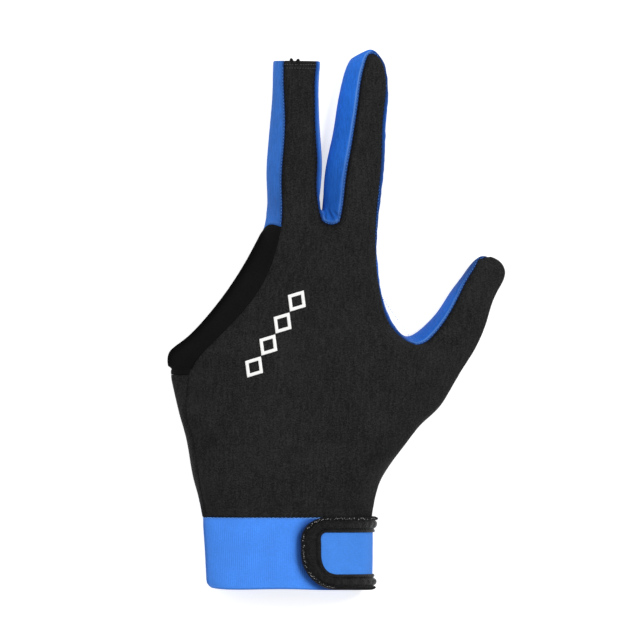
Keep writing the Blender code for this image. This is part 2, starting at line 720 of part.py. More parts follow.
def make_binding(wrap):
    """A tape folded over the strap's edge: over it, round it and under it."""
    under, core, over = strap_levels()
    outline = tab_outline()
    inward = inward_directions(outline)
    shell = bmesh.new()
    sections = []
    for k, (point, into) in enumerate(zip(outline, inward)):
        width = binding_width_at(outline, k)
        slot = BINDING_WALL
        profile = [
            (width, under[0]), (RIM_ROUNDING * slot, under[0]), (0.0, 0.5 * (core[0] + core[1])),
            (RIM_ROUNDING * slot, over[1]), (width, over[1]), (width, over[0]),
            (slot, over[0]), (slot, under[1]), (width, under[1]),
        ]
        section = []
        for inset, lift in profile:
            spot = point + into * inset
            section.append(shell.verts.new(wrap.point(spot.x, spot.y / CUFF_LENGTH, lift)))
        sections.append(section)
    for a, b in zip(sections, sections[1:]):
        for k in range(len(a)):
            n = (k + 1) % len(a)
            shell.faces.new((a[k], a[n], b[n], b[k]))
    for end in (sections[0], sections[-1]):
        for corners in ((0, 1, 7, 8), (1, 2, 6, 7), (2, 3, 6), (3, 4, 5, 6)):
            shell.faces.new([end[k] for k in corners])
    bmesh.ops.recalc_face_normals(shell, faces=shell.faces)
    mesh = bpy.data.meshes.new("strap_binding")
    shell.to_mesh(mesh)
    shell.free()
    return mesh


def make_strap(wrap):
    """The elastic core of the strap, which fills the fold of its binding."""
    _, core, _ = strap_levels()
    outline = tab_outline()
    inward = inward_directions(outline)
    edge = BINDING_WALL + PIECE_GAP
    inset = [point + into * edge for point, into in zip(outline, inward)]
    return plate_over_cuff("strap", wrap, inset, core)


def plate_over_cuff(name, wrap, outline, levels):
    """A plate of even thickness over the cuff. The outline runs out along one edge and back
    along the other, so its points pair off into lines across the plate."""
    half = len(outline) // 2
    shell = bmesh.new()
    layers = []
    for lift in levels:
        rows = []
        for a, b in zip(outline[:half], reversed(outline[half:])):
            row = []
            for share in np.linspace(0.0, 1.0, PLATE_STEPS + 1):
                spot = a.lerp(b, share)
                row.append(shell.verts.new(wrap.point(spot.x, spot.y / CUFF_LENGTH, lift)))
            rows.append(row)
        layers.append(rows)
    close_layers(shell, layers)
    mesh = bpy.data.meshes.new(name)
    shell.to_mesh(mesh)
    shell.free()
    return mesh


def make_hook_patch(wrap):
    """The fastening patch under the tab, between the two edges of its binding."""
    under, _, _ = strap_levels()
    near = STRAP_REACH - BINDING_END_WIDTH - HOOK_END_MARGIN
    far = near - HOOK_LENGTH
    top = BINDING_WIDTH + HOOK_SIDE_MARGIN
    low = CUFF_LENGTH - top
    outline = [Vector((d, top)) for d in np.linspace(far, near, HOOK_STEPS + 1)]
    outline += [Vector((d, low)) for d in np.linspace(near, far, HOOK_STEPS + 1)]
    return plate_over_cuff("hook_patch", wrap, outline, under)


def build():
    clear_scene()
    collection = bpy.data.collections.new("billiard_glove")
    bpy.context.scene.collection.children.link(collection)
    origin = bpy.data.objects.new("glove_origin", None)
    collection.objects.link(origin)

    black = cloth("black_knit", BLACK_KNIT, 0.85)
    smooth_black = cloth("black_band", BLACK_BAND, 0.65)
    blue = cloth("blue_knit", BLUE_KNIT, 0.7)
    elastic = cloth("blue_elastic", BLUE_ELASTIC, 0.75)
    hook = cloth("black_hook", BLACK_HOOK, 0.9)

    skin = smooth_skin(hand_cage())
    for number, (name, finish) in enumerate(zip(PANELS, (black, black, blue, blue, smooth_black))):
        add_object(name, make_panel(skin, number, KNIT_WALL), collection, origin, finish)
    bpy.data.meshes.remove(skin)

    _, core, _ = strap_levels()
    wrap = Wrap(core[0])
    add_object("wrist_cuff", make_cuff(), collection, origin, elastic)
    add_object("strap", make_strap(wrap), collection, origin, elastic)
    add_object("strap_binding", make_binding(wrap), collection, origin, smooth_black)
    add_object("hook_patch", make_hook_patch(wrap), collection, origin, hook)

    corners = [v.co for piece in origin.children for v in piece.data.vertices]
    for axis in (0, 1):
        spread = [c[axis] for c in corners]
        origin.location[axis] = -0.5 * (min(spread) + max(spread))
    bpy.context.view_layer.update()


build()
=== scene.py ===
"""Looks of the billiard glove: fine cloth surfaces, seams, thread, finishes, light and camera."""

import math
from collections import namedtuple

import bmesh
import bpy
import numpy as np
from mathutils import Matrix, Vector
from mathutils.bvhtree import BVHTree
from mathutils.kdtree import KDTree


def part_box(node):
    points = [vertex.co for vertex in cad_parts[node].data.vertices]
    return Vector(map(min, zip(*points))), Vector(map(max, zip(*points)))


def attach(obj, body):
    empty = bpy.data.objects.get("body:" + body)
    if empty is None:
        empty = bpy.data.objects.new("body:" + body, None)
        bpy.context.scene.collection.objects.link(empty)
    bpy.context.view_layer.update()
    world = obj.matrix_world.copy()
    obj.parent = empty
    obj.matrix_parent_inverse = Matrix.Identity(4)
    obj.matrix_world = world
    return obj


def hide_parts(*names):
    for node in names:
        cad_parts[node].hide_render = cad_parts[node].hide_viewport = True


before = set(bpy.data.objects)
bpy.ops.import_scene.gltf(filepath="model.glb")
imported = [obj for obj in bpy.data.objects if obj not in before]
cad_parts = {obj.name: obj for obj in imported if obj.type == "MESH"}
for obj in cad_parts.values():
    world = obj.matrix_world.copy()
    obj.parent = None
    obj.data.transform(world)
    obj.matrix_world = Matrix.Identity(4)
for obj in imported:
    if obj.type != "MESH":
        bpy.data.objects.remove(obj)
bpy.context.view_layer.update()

# Palm and wrist
PALM_LENGTH = 0.1200
PALM_WIDTH = 0.0980
PALM_HEIGHT = 0.0260
WRIST_WIDTH = 0.0688
WRIST_HEIGHT = 0.0285

# Fingers
MIDDLE_LENGTH = 0.0689
MIDDLE_WIDTH = 0.0214
MIDDLE_HEIGHT = 0.0150
MIDDLE_TILT = math.radians(0.7)
INDEX_LENGTH = 0.0709
INDEX_WIDTH = 0.0230
INDEX_HEIGHT = 0.0150
INDEX_TILT = math.radians(6.3)
THUMB_LENGTH = 0.0483
THUMB_WIDTH = 0.0205
THUMB_HEIGHT = 0.0165
THUMB_TILT = math.radians(31.8)

# Cloth
KNIT_WALL = 0.0012
CUFF_WALL = 0.0020
PIECE_GAP = 0.0003
FLATTENED = 0.0003
FOLD_DEPTH = 0.0009

# Cuff
CUFF_LENGTH = 0.0297
CUFF_PULL = 0.0022
SLIT_WIDTH = 0.0035
SLIT_ANGLE = math.radians(-15)

# Strap that closes the cuff
STRAP_ROOT_ANGLE = math.radians(-31)
STRAP_REACH = 0.0472
STRAP_WALL = 0.0012
TAB_TOP_RADIUS = 0.0102
TAB_BOTTOM_RADIUS = 0.0148
BINDING_WIDTH = 0.0063
BINDING_END_WIDTH = 0.0080
BINDING_WALL = 0.0007
HOOK_LENGTH = 0.0220
HOOK_END_MARGIN = 0.0030
HOOK_SIDE_MARGIN = 0.0015

# Roundness of every section: an exponent of 1 is an ellipse, less is squarer
TOP_ROUNDNESS = 0.9
UNDER_ROUNDNESS = 0.6
UNDER_SEAM_ANGLE = math.radians(35)

# Fineness of the mesh
SURFACE_LEVEL = 1
FIT_ROUNDS = 16
ANGLE_STEP = 0.001

# Where each finger starts, and the bottom of the cleft between forefinger and middle finger,
# as shares of the palm's width from its middle and of its length from the wrist
Start = namedtuple("Start", "across along")
MIDDLE_START = Start(0.029, 0.976)
INDEX_START = Start(0.264, 1.003)
THUMB_START = Start(0.603, 0.539)
CLEFT = Start(0.146, 1.055)
CLEFT_WIDTH = 0.0022

# Sections of a finger. Along and slant are shares of its length, the slant being how much
# further the right side lies than the left. Left, right and the two seams are shares of its
# width from its axis. Height is a share of its height.
Section = namedtuple("Section", "along slant left left_seam right_seam right height")
MIDDLE_SECTIONS = [
    Section(0.035, 0.07, -0.595, -0.253, 0.536, 0.640, 1.15),
    Section(0.25, 0.00, -0.519, -0.247, 0.430, 0.500, 1.03),
    Section(0.42, 0.00, -0.525, -0.238, 0.440, 0.515, 1.00),
    Section(0.60, 0.00, -0.482, -0.200, 0.400, 0.478, 0.98),
    Section(0.78, 0.00, -0.450, -0.220, 0.375, 0.440, 0.96),
    Section(0.90, 0.00, -0.435, -0.239, 0.380, 0.445, 0.95),
    Section(1.00, 0.00, -0.430, -0.239, 0.400, 0.462, 0.95),
]
INDEX_SECTIONS = [
    Section(-0.015, -0.07, -0.570, -0.196, 0.480, 0.490, 1.15),
    Section(0.20, 0.00, -0.520, -0.164, 0.458, 0.492, 1.03),
    Section(0.36, 0.00, -0.500, -0.148, 0.440, 0.478, 1.00),
    Section(0.52, 0.00, -0.460, -0.120, 0.408, 0.446, 0.98),
    Section(0.68, 0.00, -0.430, -0.100, 0.393, 0.437, 0.95),
    Section(0.82, 0.00, -0.390, -0.089, 0.368, 0.379, 0.90),
    Section(0.93, 0.00, -0.300, -0.050, 0.284, 0.293, 0.76),
]
THUMB_SECTIONS = [
    Section(0.033, -0.03, -0.630, -0.390, 0.592, 0.630, 1.20),
    Section(0.20, 0.00, -0.450, -0.204, 0.604, 0.640, 1.10),
    Section(0.38, 0.00, -0.382, -0.170, 0.580, 0.614, 1.03),
    Section(0.56, 0.00, -0.370, -0.186, 0.492, 0.520, 0.98),
    Section(0.73, 0.00, -0.344, -0.226, 0.410, 0.436, 0.92),
    Section(0.89, 0.00, -0.296, -0.230, 0.375, 0.405, 0.78),
]
WRIST_SECTION = Section(0.00, 0.00, -0.500, -0.479, 0.485, 0.500, 1.00)

# The two points that close a fingertip and the two above them that its seam passes through:
# shares of the finger's length, of its width and of the height of its last section
Tip = namedtuple("Tip", "along left right seam_along seam_left seam_right left_high right_high")
INDEX_TIP = Tip(0.996, -0.08, 0.115, 0.982, 0.012, 0.145, 0.81, 0.65)
THUMB_TIP = Tip(0.99, -0.08, 0.23, 0.950, -0.170, 0.220, 0.73, 0.81)

# Outline of the hand, row by row from the wrist to the knuckles: shares of the palm's width and
# length, and heights as shares of its height. On the little-finger side, the rows from
# MOUTH_ROW on are the mouth's two lips, and the ones before it the closed side of the hand.
Edge = namedtuple("Edge", "across along seam_across seam_along high low seam_high seam_low")
LEFT_EDGE = {
    1: Edge(-0.381, 0.096, -0.362, 0.096, 0.50, 0.50, 0.80, 0.10),
    2: Edge(-0.406, 0.191, -0.381, 0.191, 0.48, 0.48, 0.78, 0.09),
    3: Edge(-0.427, 0.283, -0.400, 0.282, 0.46, 0.46, 0.76, 0.08),
    4: Edge(-0.454, 0.369, -0.423, 0.367, 0.44, 0.44, 0.74, 0.08),
    5: Edge(-0.485, 0.483, -0.412, 0.482, 0.40, 0.40, 0.68, 0.07),
    6: Edge(-0.496, 0.512, -0.400, 0.504, 0.36, 0.36, 0.66, 0.06),
    7: Edge(-0.492, 0.555, -0.377, 0.535, 0.46, 0.24, 0.72, 0.04),
    8: Edge(-0.418, 0.608, -0.322, 0.584, 0.56, 0.14, 0.77, 0.01),
    9: Edge(-0.305, 0.707, -0.230, 0.659, 0.62, 0.07, 0.78, 0.00),
    10: Edge(-0.220, 0.801, -0.142, 0.745, 0.60, 0.08, 0.75, 0.00),
    11: Edge(-0.152, 0.895, -0.075, 0.844, 0.50, 0.14, 0.68, 0.02),
}
RIGHT_EDGE = {
    1: Edge(0.393, 0.130, 0.380, 0.128, 0.50, 0.50, 0.72, 0.12),
    2: Edge(0.473, 0.225, 0.460, 0.222, 0.48, 0.48, 0.70, 0.12),
    3: Edge(0.556, 0.311, 0.543, 0.307, 0.45, 0.45, 0.68, 0.10),
    4: Edge(0.640, 0.382, 0.628, 0.377, 0.42, 0.42, 0.66, 0.10),
    9: Edge(0.442, 0.655, 0.440, 0.644, 0.38, 0.38, 0.54, 0.08),
    10: Edge(0.388, 0.762, 0.392, 0.758, 0.35, 0.35, 0.47, 0.08),
    11: Edge(0.372, 0.868, 0.375, 0.868, 0.32, 0.32, 0.44, 0.08),
}
ROW_HEIGHTS = {
    1: 1.09, 2: 1.07, 3: 1.05, 4: 1.02, 5: 1.00, 6: 0.98,
    7: 0.96, 8: 0.93, 9: 0.89, 10: 0.85, 11: 0.77,
}
WRIST_ROW = 0
THUMB_LOW_ROW = 5
MOUTH_ROW = 6
THUMB_TOP_ROW = 8
KNUCKLE_ROW = 12
HAND_COLUMNS = range(1, 9)
MIDDLE_COLUMNS = range(1, 5)
INDEX_COLUMNS = range(5, 9)
CROWN_POWER = 2.6

# Shallow folds pressed into the back: ends as shares of the palm's width and length, width and
# depth as shares of the palm's height and of the fold depth
Fold = namedtuple("Fold", "across along to_across to_along width depth")
FOLDS = [
    Fold(0.47, 0.50, 0.36, 0.36, 0.30, 1.0),
    Fold(0.20, 0.98, 0.26, 0.90, 0.16, 0.8),
    Fold(-0.33, 0.08, -0.12, 0.05, 0.22, 0.7),
    Fold(0.36, 0.12, 0.18, 0.07, 0.24, 0.7),
]
# The share of a half wave at which a fold starts, and the share that it spans
FOLD_START = 0.15
FOLD_SPAN = 0.70

# Sections of the cuff: along is a share of its length from the knit, left and right are shares
# of the wrist's width, and pull is the share of the strap's pull that draws in the thumb side
CuffSection = namedtuple("CuffSection", "along left right pull")
CUFF_SECTIONS = [
    CuffSection(0.00, -0.500, 0.500, 0.5),
    CuffSection(0.12, -0.500, 0.500, 0.9),
    CuffSection(0.45, -0.490, 0.500, 1.0),
    CuffSection(1.00, -0.478, 0.500, 1.0),
]

# Panels, in the order of their numbers on the skin
PANELS = ["back_panel", "palm_panel", "finger_gusset", "middle_gusset", "opening_band"]
BACK, PALM, GUSSET, MIDDLE_GUSSET, BAND = range(5)
MIDDLE_SIDES = {3: GUSSET, 4: GUSSET, 8: MIDDLE_GUSSET, 9: MIDDLE_GUSSET}
INDEX_SIDES = {3: GUSSET, 4: GUSSET, 8: GUSSET, 9: GUSSET}
THUMB_SIDES = {3: BACK, 4: PALM, 8: GUSSET, 9: GUSSET}

# Fine cloth surface
FINE_LEVEL = 4
SEAM_DRAW = 0.00006
SEAM_DROP = 0.00050
BLACK_SEAM_DROP = 0.00016
SEAM_HALF_WIDTH = 0.00062
BAND_DROP = 0.00012
SEAM_PUFF = 0.00018
PUFF_PLACE = 0.0021
PUFF_HALF_WIDTH = 0.0012
PUCKER_SIZE = 0.0046
PUCKER_SHARE = 0.6
RIPPLE_SIZE = 0.021
RIPPLE_DEPTH = 0.00022
RIPPLE_WAVES = 7
RIPPLE_SPREAD = (0.7, 1.5)
RIPPLE_EVENNESS = 3.2
PUCKER_SEED = 3
RIPPLE_SEED = 5
RIM_STEPS = 4
TINY = 1e-9
# Widths of the painted shade in the seams' grooves and along the free edges
SEAM_SHADE_WIDTH = 0.0011
EDGE_SHADE_WIDTH = 0.0021
RESTING = 0.0025

# The raised lip beside a fold: its share of the valley's depth, and its place and width in half
# widths of the valley
LIP_SHARE = 0.35
LIP_PLACE = 1.9
LIP_WIDTH = 0.8

# Painted light and shade on the cloth: painted shade in the cleft, up the thumb, in the creases of
# the fine folds and on the flanks of the fingers that face the thumb, and a pale painted highlight
# along the blue cloth's seams
CLEFT_DUSK = 0.026
THUMB_DUSK = (0.45, 0.95)
CLEFT_DARKNESS = 0.40
THUMB_DARKNESS = (0.18, 0.80)
PAINTED_FOLD_SHADE = 0.8
FLANK_FACING = 0.15
FLANK_FADE = 0.3
FLANK_SHADE_WIDTH = 0.0019
MIDDLE_FLANK_SHARE = 0.6
PALE_LINE_PLACE = 0.00100
PALE_LINE_WIDTH = 0.00030
FLANK_LINE_PLACE = 0.0020
FLANK_LINE_WIDTH = 0.0006
FLANK_LINE_SHARE = 0.7

# Cuff and strap, in fine steps
RIB_PITCH = 0.00085
RIB_DEPTH = 0.00016
RIB_STEPS = 6
RIB_FADE = 0.002
CUFF_FINE_ROWS = 20
CUFF_SAMPLES = 4000
HEM_STEPS = 5
HEM_WAVE_START = 0.6
HEM_CORNER = 0.86
HEM_CORNER_PULL = 0.0013
SCALLOP_PITCH = 0.0017
SCALLOP_DEPTH = 0.00016
SCALLOP_FADE = 9
# Painted shade on the cuff: a painted shadow beside the tab, and darker hems and sides where the cuff
# turns away from the light
PAINTED_TAB_SHADOW = 0.95
PAINTED_TAB_SHADOW_WIDTH = 0.0025
HEM_SHADE = 0.4
HEM_SHADE_WIDTH = 0.0006
SIDE_SHADE = 0.5
SIDE_SHADE_START = 0.95
STRAP_FINE_STEP = 0.0004
STRAP_SAMPLES = 60
WRAP_SAMPLES = 2000
ACROSS_STEPS = 26
CORE_BULGE = 0.0005
CROWN_ROUNDNESS = 0.6
HOOK_RIBS = 0.0001

# Waves along an edge: their height, their length over a full turn, and where they start
Wave = namedtuple("Wave", "height reach turn")
RIB_SWAY = [Wave(0.3, 0.0171, 0.0), Wave(0.2, 0.0067, 1.0)]
ROLL_SWELL = [Wave(0.18, 0.0052, 0.6)]

# Uneven waves: their height and reach, and how far and over what reach they sway
Wander = namedtuple("Wander", "height reach sway sway_reach")
HEM_WAVE = Wander(0.00022, 0.0062, 0.8, 0.019)
ROLL_RIPPLE = Wander(0.24, 0.00055, 1.6, 0.0031)

# The binding's section as shares of its width in from the edge, and lifts over its upper side
BINDING_TOP = [
    (0.000, -1.60), (0.008, -0.85), (0.030, -0.35), (0.070, 0.00), (0.130, 0.12), (0.190, 0.02),
    (0.225, -0.28), (0.262, -0.05), (0.330, 0.48), (0.420, 0.80), (0.520, 0.88), (0.620, 0.74),
    (0.700, 0.34), (0.750, -0.22), (0.785, -0.38), (0.820, -0.10), (0.870, 0.16), (0.940, 0.16),
    (0.985, -0.05), (1.000, -0.38),
]
BINDING_LIFT = 0.0008

# Shares of the binding's width in from the edge: the ends of its roll, the fold that holds the
# strap, and its rim. Where it lies lower than its groove it gets painted shade.
ROLL_FROM, ROLL_TO = 0.24, 0.74
FOLD_IN = 0.13
RIM_IN = 0.03
RIM_OUT = 0.006
GROOVE = -0.15

# Fine folds that only show close up, in the same terms as the folds above. A ridge has a
# negative depth.
FINE_FOLDS = [
    Fold(0.569, 0.577, 0.653, 0.516, 0.075, -0.55),
    Fold(0.520, 0.560, 0.560, 0.500, 0.070, 0.40),
    Fold(0.172, 1.048, 0.190, 1.015, 0.022, 0.75),
    Fold(0.190, 1.045, 0.215, 1.022, 0.020, 0.70),
    Fold(0.160, 1.035, 0.158, 1.010, 0.020, 0.60),
    Fold(0.185, 0.990, 0.215, 0.950, 0.030, 0.30),
    Fold(-0.420, 0.440, -0.330, 0.400, 0.090, 0.45),
    Fold(-0.390, 0.300, -0.300, 0.240, 0.110, 0.45),
    Fold(0.440, 0.230, 0.330, 0.180, 0.100, 0.45),
]

# Running stitches: their pitch, length, height over the cloth and thread radius
Stitch = namedtuple("Stitch", "pitch length arch radius")
SEAM_STITCH = Stitch(0.0018, 0.0013, 0.00012, 0.00013)
GUSSET_STITCH = Stitch(0.0013, 0.0008, 0.00006, 0.00008)
HEM_STITCH = Stitch(0.0011, 0.0007, 0.00020, 0.00013)
HEM_STITCH_LENGTHS = (0.0006, 0.0008)
STITCH_SHARES = (0.0, 0.2, 0.5, 0.8, 1.0)
STITCH_DIP = 0.3
SHORTEST_SEAM = 12
GUSSET_STITCH_INSET = 0.00055
TOP_FACING = 0.62

# Round thread
THREAD_SIDES = 6
FINE_THREAD_SIDES = 5
THREAD_TAPER = 0.45
SCALLOP_THREAD = 0.00013
SCALLOP_SAMPLES = 2400
SCALLOP_STEPS = 6
SCALLOP_DOWN = 0.00075
SCALLOP_RISE = 0.00045
SCALLOP_LEVEL = 0.02
SCALLOP_START = 0.0005

# The hem of the open fingertip, and the loose loops of thread that stand out of it
TIP_HEM_ROWS = (0.0009, 0.0024)
TIP_REACH = 0.014
TIP_SAMPLES = 240
TIP_SEED = 23
Loop = namedtuple("Loop", "offset lean tall")
LOOPS = [Loop(-0.0016, -0.0004, 0.0018), Loop(0.0006, 0.0003, 0.0016)]
LOOP_RADIUS = 0.00042
LOOP_HALF_WIDTH = 0.0005
LOOP_DEPTH = 0.0005
LOOP_FOOT = 0.93
LOOP_STEPS = 13

# The thread that lies along the hem between the loops
LYING_STEPS = 14
LYING_RADIUS = 0.0002
LYING_INSET = 0.0005
LYING_FROM = -0.0021
LYING_SPAN = 0.0046
LYING_SWAY = 0.00035
LYING_WAVES = 5.0

# Overlocked edge of the binding: points of one thread as shares of the binding's width and of
# the edge's thickness, and the pale filling thread that shows between them
OVERLOCK_PITCH = 0.00095
OVERLOCK_SHAPE = [
    (0.030, 0.25), (-0.012, 0.5), (0.004, 0.80), (0.060, 1.08), (0.130, 1.20), (0.200, 1.06),
]
OVERLOCK_RADIUS = 0.00019
OVERLOCK_SLANT = 0.0045
OVERLOCK_ENDS = (0.001, 0.002)
FILLING_SEED = 11
FILLING_PITCH = 0.00066
FILLING_SPAN = (0.10, 0.70)
FILLING_SHARES = (0.05, 0.13)
FILLING_LENGTHS = (0.0002, 0.0004)
FILLING_RADII = (0.00013, 0.00018)
FILLING_GAPS = 0.12
FILLING_SLANT = 0.05
FILLING_LIFT = 0.00034

# Printed row of lozenges on the back: its two ends in the plan as shares of the palm, and the
# section of a lozenge's outline as shares of its size and lifts
PRINT_START = (0.071, 0.772)
PRINT_END = (-0.167, 0.472)
LOZENGE_COUNT = 4
LOZENGE_LENGTH = 0.0104
LOZENGE_WIDTH = 0.0088
LOZENGE_STEPS = 12
LOZENGE_SECTION = [
    (1.000, -1.0), (1.000, 0.4), (0.985, 1.0), (0.800, 1.1), (0.615, 1.0), (0.600, 0.4), (0.600, -1.0),
]
PRINT_WALL = 0.00016

# The flat cuts of the cloth: a rectangle's width and length, and the cut's area inside it
Cut = namedtuple("Cut", "width length area")

# View
IMAGE_WIDTH = 0.2624
VIEW_CENTRE = (0.01353, 0.08036)
FOCUS_HEIGHT = 0.012
LENS = 1000.0
SENSOR = 36.0
CLIP = (0.05, 20.0)

# Light, floor and surroundings
Lamp = namedtuple("Lamp", "name place size power")
LAMPS = [
    Lamp("key", (1.35, 0.7, 2.05), 0.7, 40.0),
    Lamp("fill", (-1.0, 0.2, 2.4), 1.6, 31.0),
]
AIM_HEIGHT = 0.01
WORLD_STRENGTH = 0.35
FLOOR_HALF_SIZE = 3.0
FLOOR_DROP = 0.0002
FLOOR_TONE = 0.60
FLOOR_GLOW = 0.65
FLOOR_ROUGHNESS = 0.9
FLOOR_GLOSS = 0.1

# Colours
BLACK = (0.0131, 0.0131, 0.0132)
BAND_BLACK = (0.0040, 0.0040, 0.0041)
BLUE = (0.019, 0.150, 0.640)
SKY_BLUE = (0.030, 0.150, 0.545)
ELASTIC_BLUE = (0.054, 0.230, 0.770)
# The strap is of the cuff's elastic, painted darker as painted shade against the stronger light that
# falls on it
STRAP_BLUE_PAINTED_DARKER = (0.048, 0.205, 0.660)
BINDING_BLACK = (0.0060, 0.0060, 0.0062)
HOOK_BLACK = (0.012, 0.012, 0.013)
THREAD_BLACK = (0.006, 0.006, 0.007)
THREAD_GREY = (0.070, 0.070, 0.071)
THREAD_PALE = (0.50, 0.50, 0.49)
THREAD_BLUE = (0.085, 0.250, 0.680)
INK_WHITE = (0.80, 0.80, 0.79)
PALE_BLUE = (0.16, 0.38, 0.90)

# Painted light and shade: the mesh's value that carries each, its strength and its colour
Shade = namedtuple("Shade", "value share colour")
# Painted shade on the black knit in the seams' grooves and the folds' creases, carried in the mesh's
# value named seam
KNIT_SHADES = [Shade("seam", 0.65, (0.003, 0.003, 0.005))]
# Painted shade on the opening band along its free edge, where it rounds away from the light, carried
# in the mesh's value named edge
BAND_SHADES = [Shade("edge", 0.9, (0.0003, 0.0003, 0.0004))]
# Painted shade on the blue cloth in the cleft and up the thumb
PAINTED_CLEFT_THUMB_SHADE = Shade("painted_cleft_thumb_shade", 1.0, (0.004, 0.022, 0.110))
# Painted shade on the blue cloth in the seams' grooves and on the flanks that face the thumb
PAINTED_SEAM_FLANK_SHADE = Shade("painted_seam_flank_shade", 0.9, (0.005, 0.018, 0.080))
# The blue cloths' painted light: painted shade in the cleft and up the thumb, a pale painted highlight
# beside the seams, and painted shade in the seams and on the flanks
BLUE_SHADES = [PAINTED_CLEFT_THUMB_SHADE, Shade("pale", 0.85, PALE_BLUE), PAINTED_SEAM_FLANK_SHADE]
SKY_SHADES = [PAINTED_CLEFT_THUMB_SHADE, Shade("pale", 0.15, PALE_BLUE), PAINTED_SEAM_FLANK_SHADE]
# Painted shade on the cuff, carried in the mesh's value named seam: the tab's painted shadow and the
# darker hems and sides
CUFF_SHADES = [Shade("seam", 1.0, (0.009, 0.050, 0.230))]
# Painted shade in the binding's grooves, carried in the mesh's value named seam
BINDING_SHADES = [Shade("seam", 0.85, (0.002, 0.002, 0.003))]

# Finishes. Spread is how far the tone strays from the colour, and depth is the grain's depth in
# metres. Each layer of grain has the size of its features in metres, how they are drawn in along
# each axis, its fineness, and its weight in the tone and in the relief.
Finish = namedtuple("Finish", "roughness sheen gloss spread depth")
Layer = namedtuple("Layer", "size stretch detail in_tone in_relief")
EVEN = (1, 1, 1)
FINISHES = {
    "knit": (Finish(0.80, 0.02, 0.06, 0.54, 0.00024), [
        Layer(0.00048, EVEN, 1.0, 1.7, 1.0),
        Layer(0.00080, (1.0, 0.12, 0.6), 2.0, 0.7, 1.1),
        Layer(0.00055, (0.5, 1.0, 0.6), 2.0, 0.7, 0.5),
        Layer(0.019, EVEN, 2.0, 0.4, 0.0),
        Layer(0.0045, EVEN, 4.0, 0.25, 0.0),
    ]),
    "band": (Finish(0.72, 0.0, 0.05, 0.4, 0.0001), [
        Layer(0.0005, EVEN, 2.0, 0.5, 1.0),
        Layer(0.0008, (0.5, 1.0, 0.6), 2.0, 0.4, 0.6),
        Layer(0.015, EVEN, 2.0, 0.5, 0.0),
    ]),
    "blue_knit": (Finish(0.62, 0.03, 0.08, 0.22, 0.00018), [
        Layer(0.00038, EVEN, 2.5, 0.8, 0.8),
        Layer(0.0006, (1.0, 0.14, 0.7), 2.0, 0.8, 1.0),
        Layer(0.012, EVEN, 2.0, 0.6, 0.0),
    ]),
    "elastic": (Finish(0.66, 0.06, 0.12, 0.16, 0.00012), [
        Layer(0.00032, EVEN, 2.5, 0.7, 0.7),
        Layer(0.0005, (0.5, 1.6, 0.7), 2.0, 0.7, 1.0),
        Layer(0.009, EVEN, 2.0, 0.5, 0.0),
    ]),
    "binding": (Finish(0.42, 0.01, 0.22, 0.7, 0.00060), [
        Layer(0.0003, EVEN, 2.5, 1.4, 0.8),
        Layer(0.0005, (0.7, 1.4, 0.8), 2.0, 1.2, 0.7),
        Layer(0.0011, EVEN, 3.0, 0.0, 2.4),
        Layer(0.006, EVEN, 2.0, 0.6, 0.0),
    ]),
    "thread": (Finish(0.6, 0.1, 0.06, 0.5, 0.00008), [
        Layer(0.00018, (1.0, 1.6, 1.0), 1.0, 0.9, 1.0),
        Layer(0.002, EVEN, 2.0, 0.6, 0.0),
    ]),
    "pale_thread": (Finish(0.6, 0.1, 0.06, 0.3, 0.00008), [
        Layer(0.00018, (1.0, 1.6, 1.0), 1.0, 0.9, 1.0),
        Layer(0.002, EVEN, 2.0, 0.6, 0.0),
    ]),
    "ink": (Finish(0.5, 0.0, 0.06, 0.09, 0.00008), [
        Layer(0.0005, EVEN, 3.0, 0.4, 1.0),
        Layer(0.003, EVEN, 5.0, 0.5, 0.3),
    ]),
    "hook_tape": (Finish(0.55, 0.0, 0.06, 0.5, 0.0004), [Layer(0.0006, EVEN, 2.0, 0.5, 0.0)]),
}
HOOKS_PER_METRE = 1100.0
HOOKS_IN_TONE = 0.8
SHEEN_ROUGHNESS = 0.45
ROUGHNESS_SPREAD = 0.1
LIGHTER = 1.3
TONE_STOPS = (0.15, 0.5, 0.85)


def section_point(middle, half, height, angle):
    """A point of a section: how far across it lies and how high. Angle 0 is its right side."""
    rise = math.sin(angle)
    power = TOP_ROUNDNESS if rise > 0 else UNDER_ROUNDNESS
    lift = math.copysign(abs(rise) ** power, rise)
    return middle + half * math.cos(angle), 0.5 * height * (1 + lift)


def ring(section, width, height, count):
    """Points of one section as (across, height): top row, right side, under row, left side."""
    middle = 0.5 * (section.left + section.right) * width
    half = 0.5 * (section.right - section.left) * width
    tall = section.height * height

    def angle_at(seam):
        return math.acos(max(-1.0, min(1.0, (seam * width - middle) / half)))

    over = np.linspace(angle_at(section.left_seam), angle_at(section.right_seam), count)
    under = np.linspace(UNDER_SEAM_ANGLE - math.pi, -UNDER_SEAM_ANGLE, count)
    top = [section_point(middle, half, tall, angle) for angle in over]
    low = [section_point(middle, half, tall, angle) for angle in under]
    right = section_point(middle, half, tall, 0.0)
    left = section_point(middle, half, tall, math.pi)
    return top, right, low, left


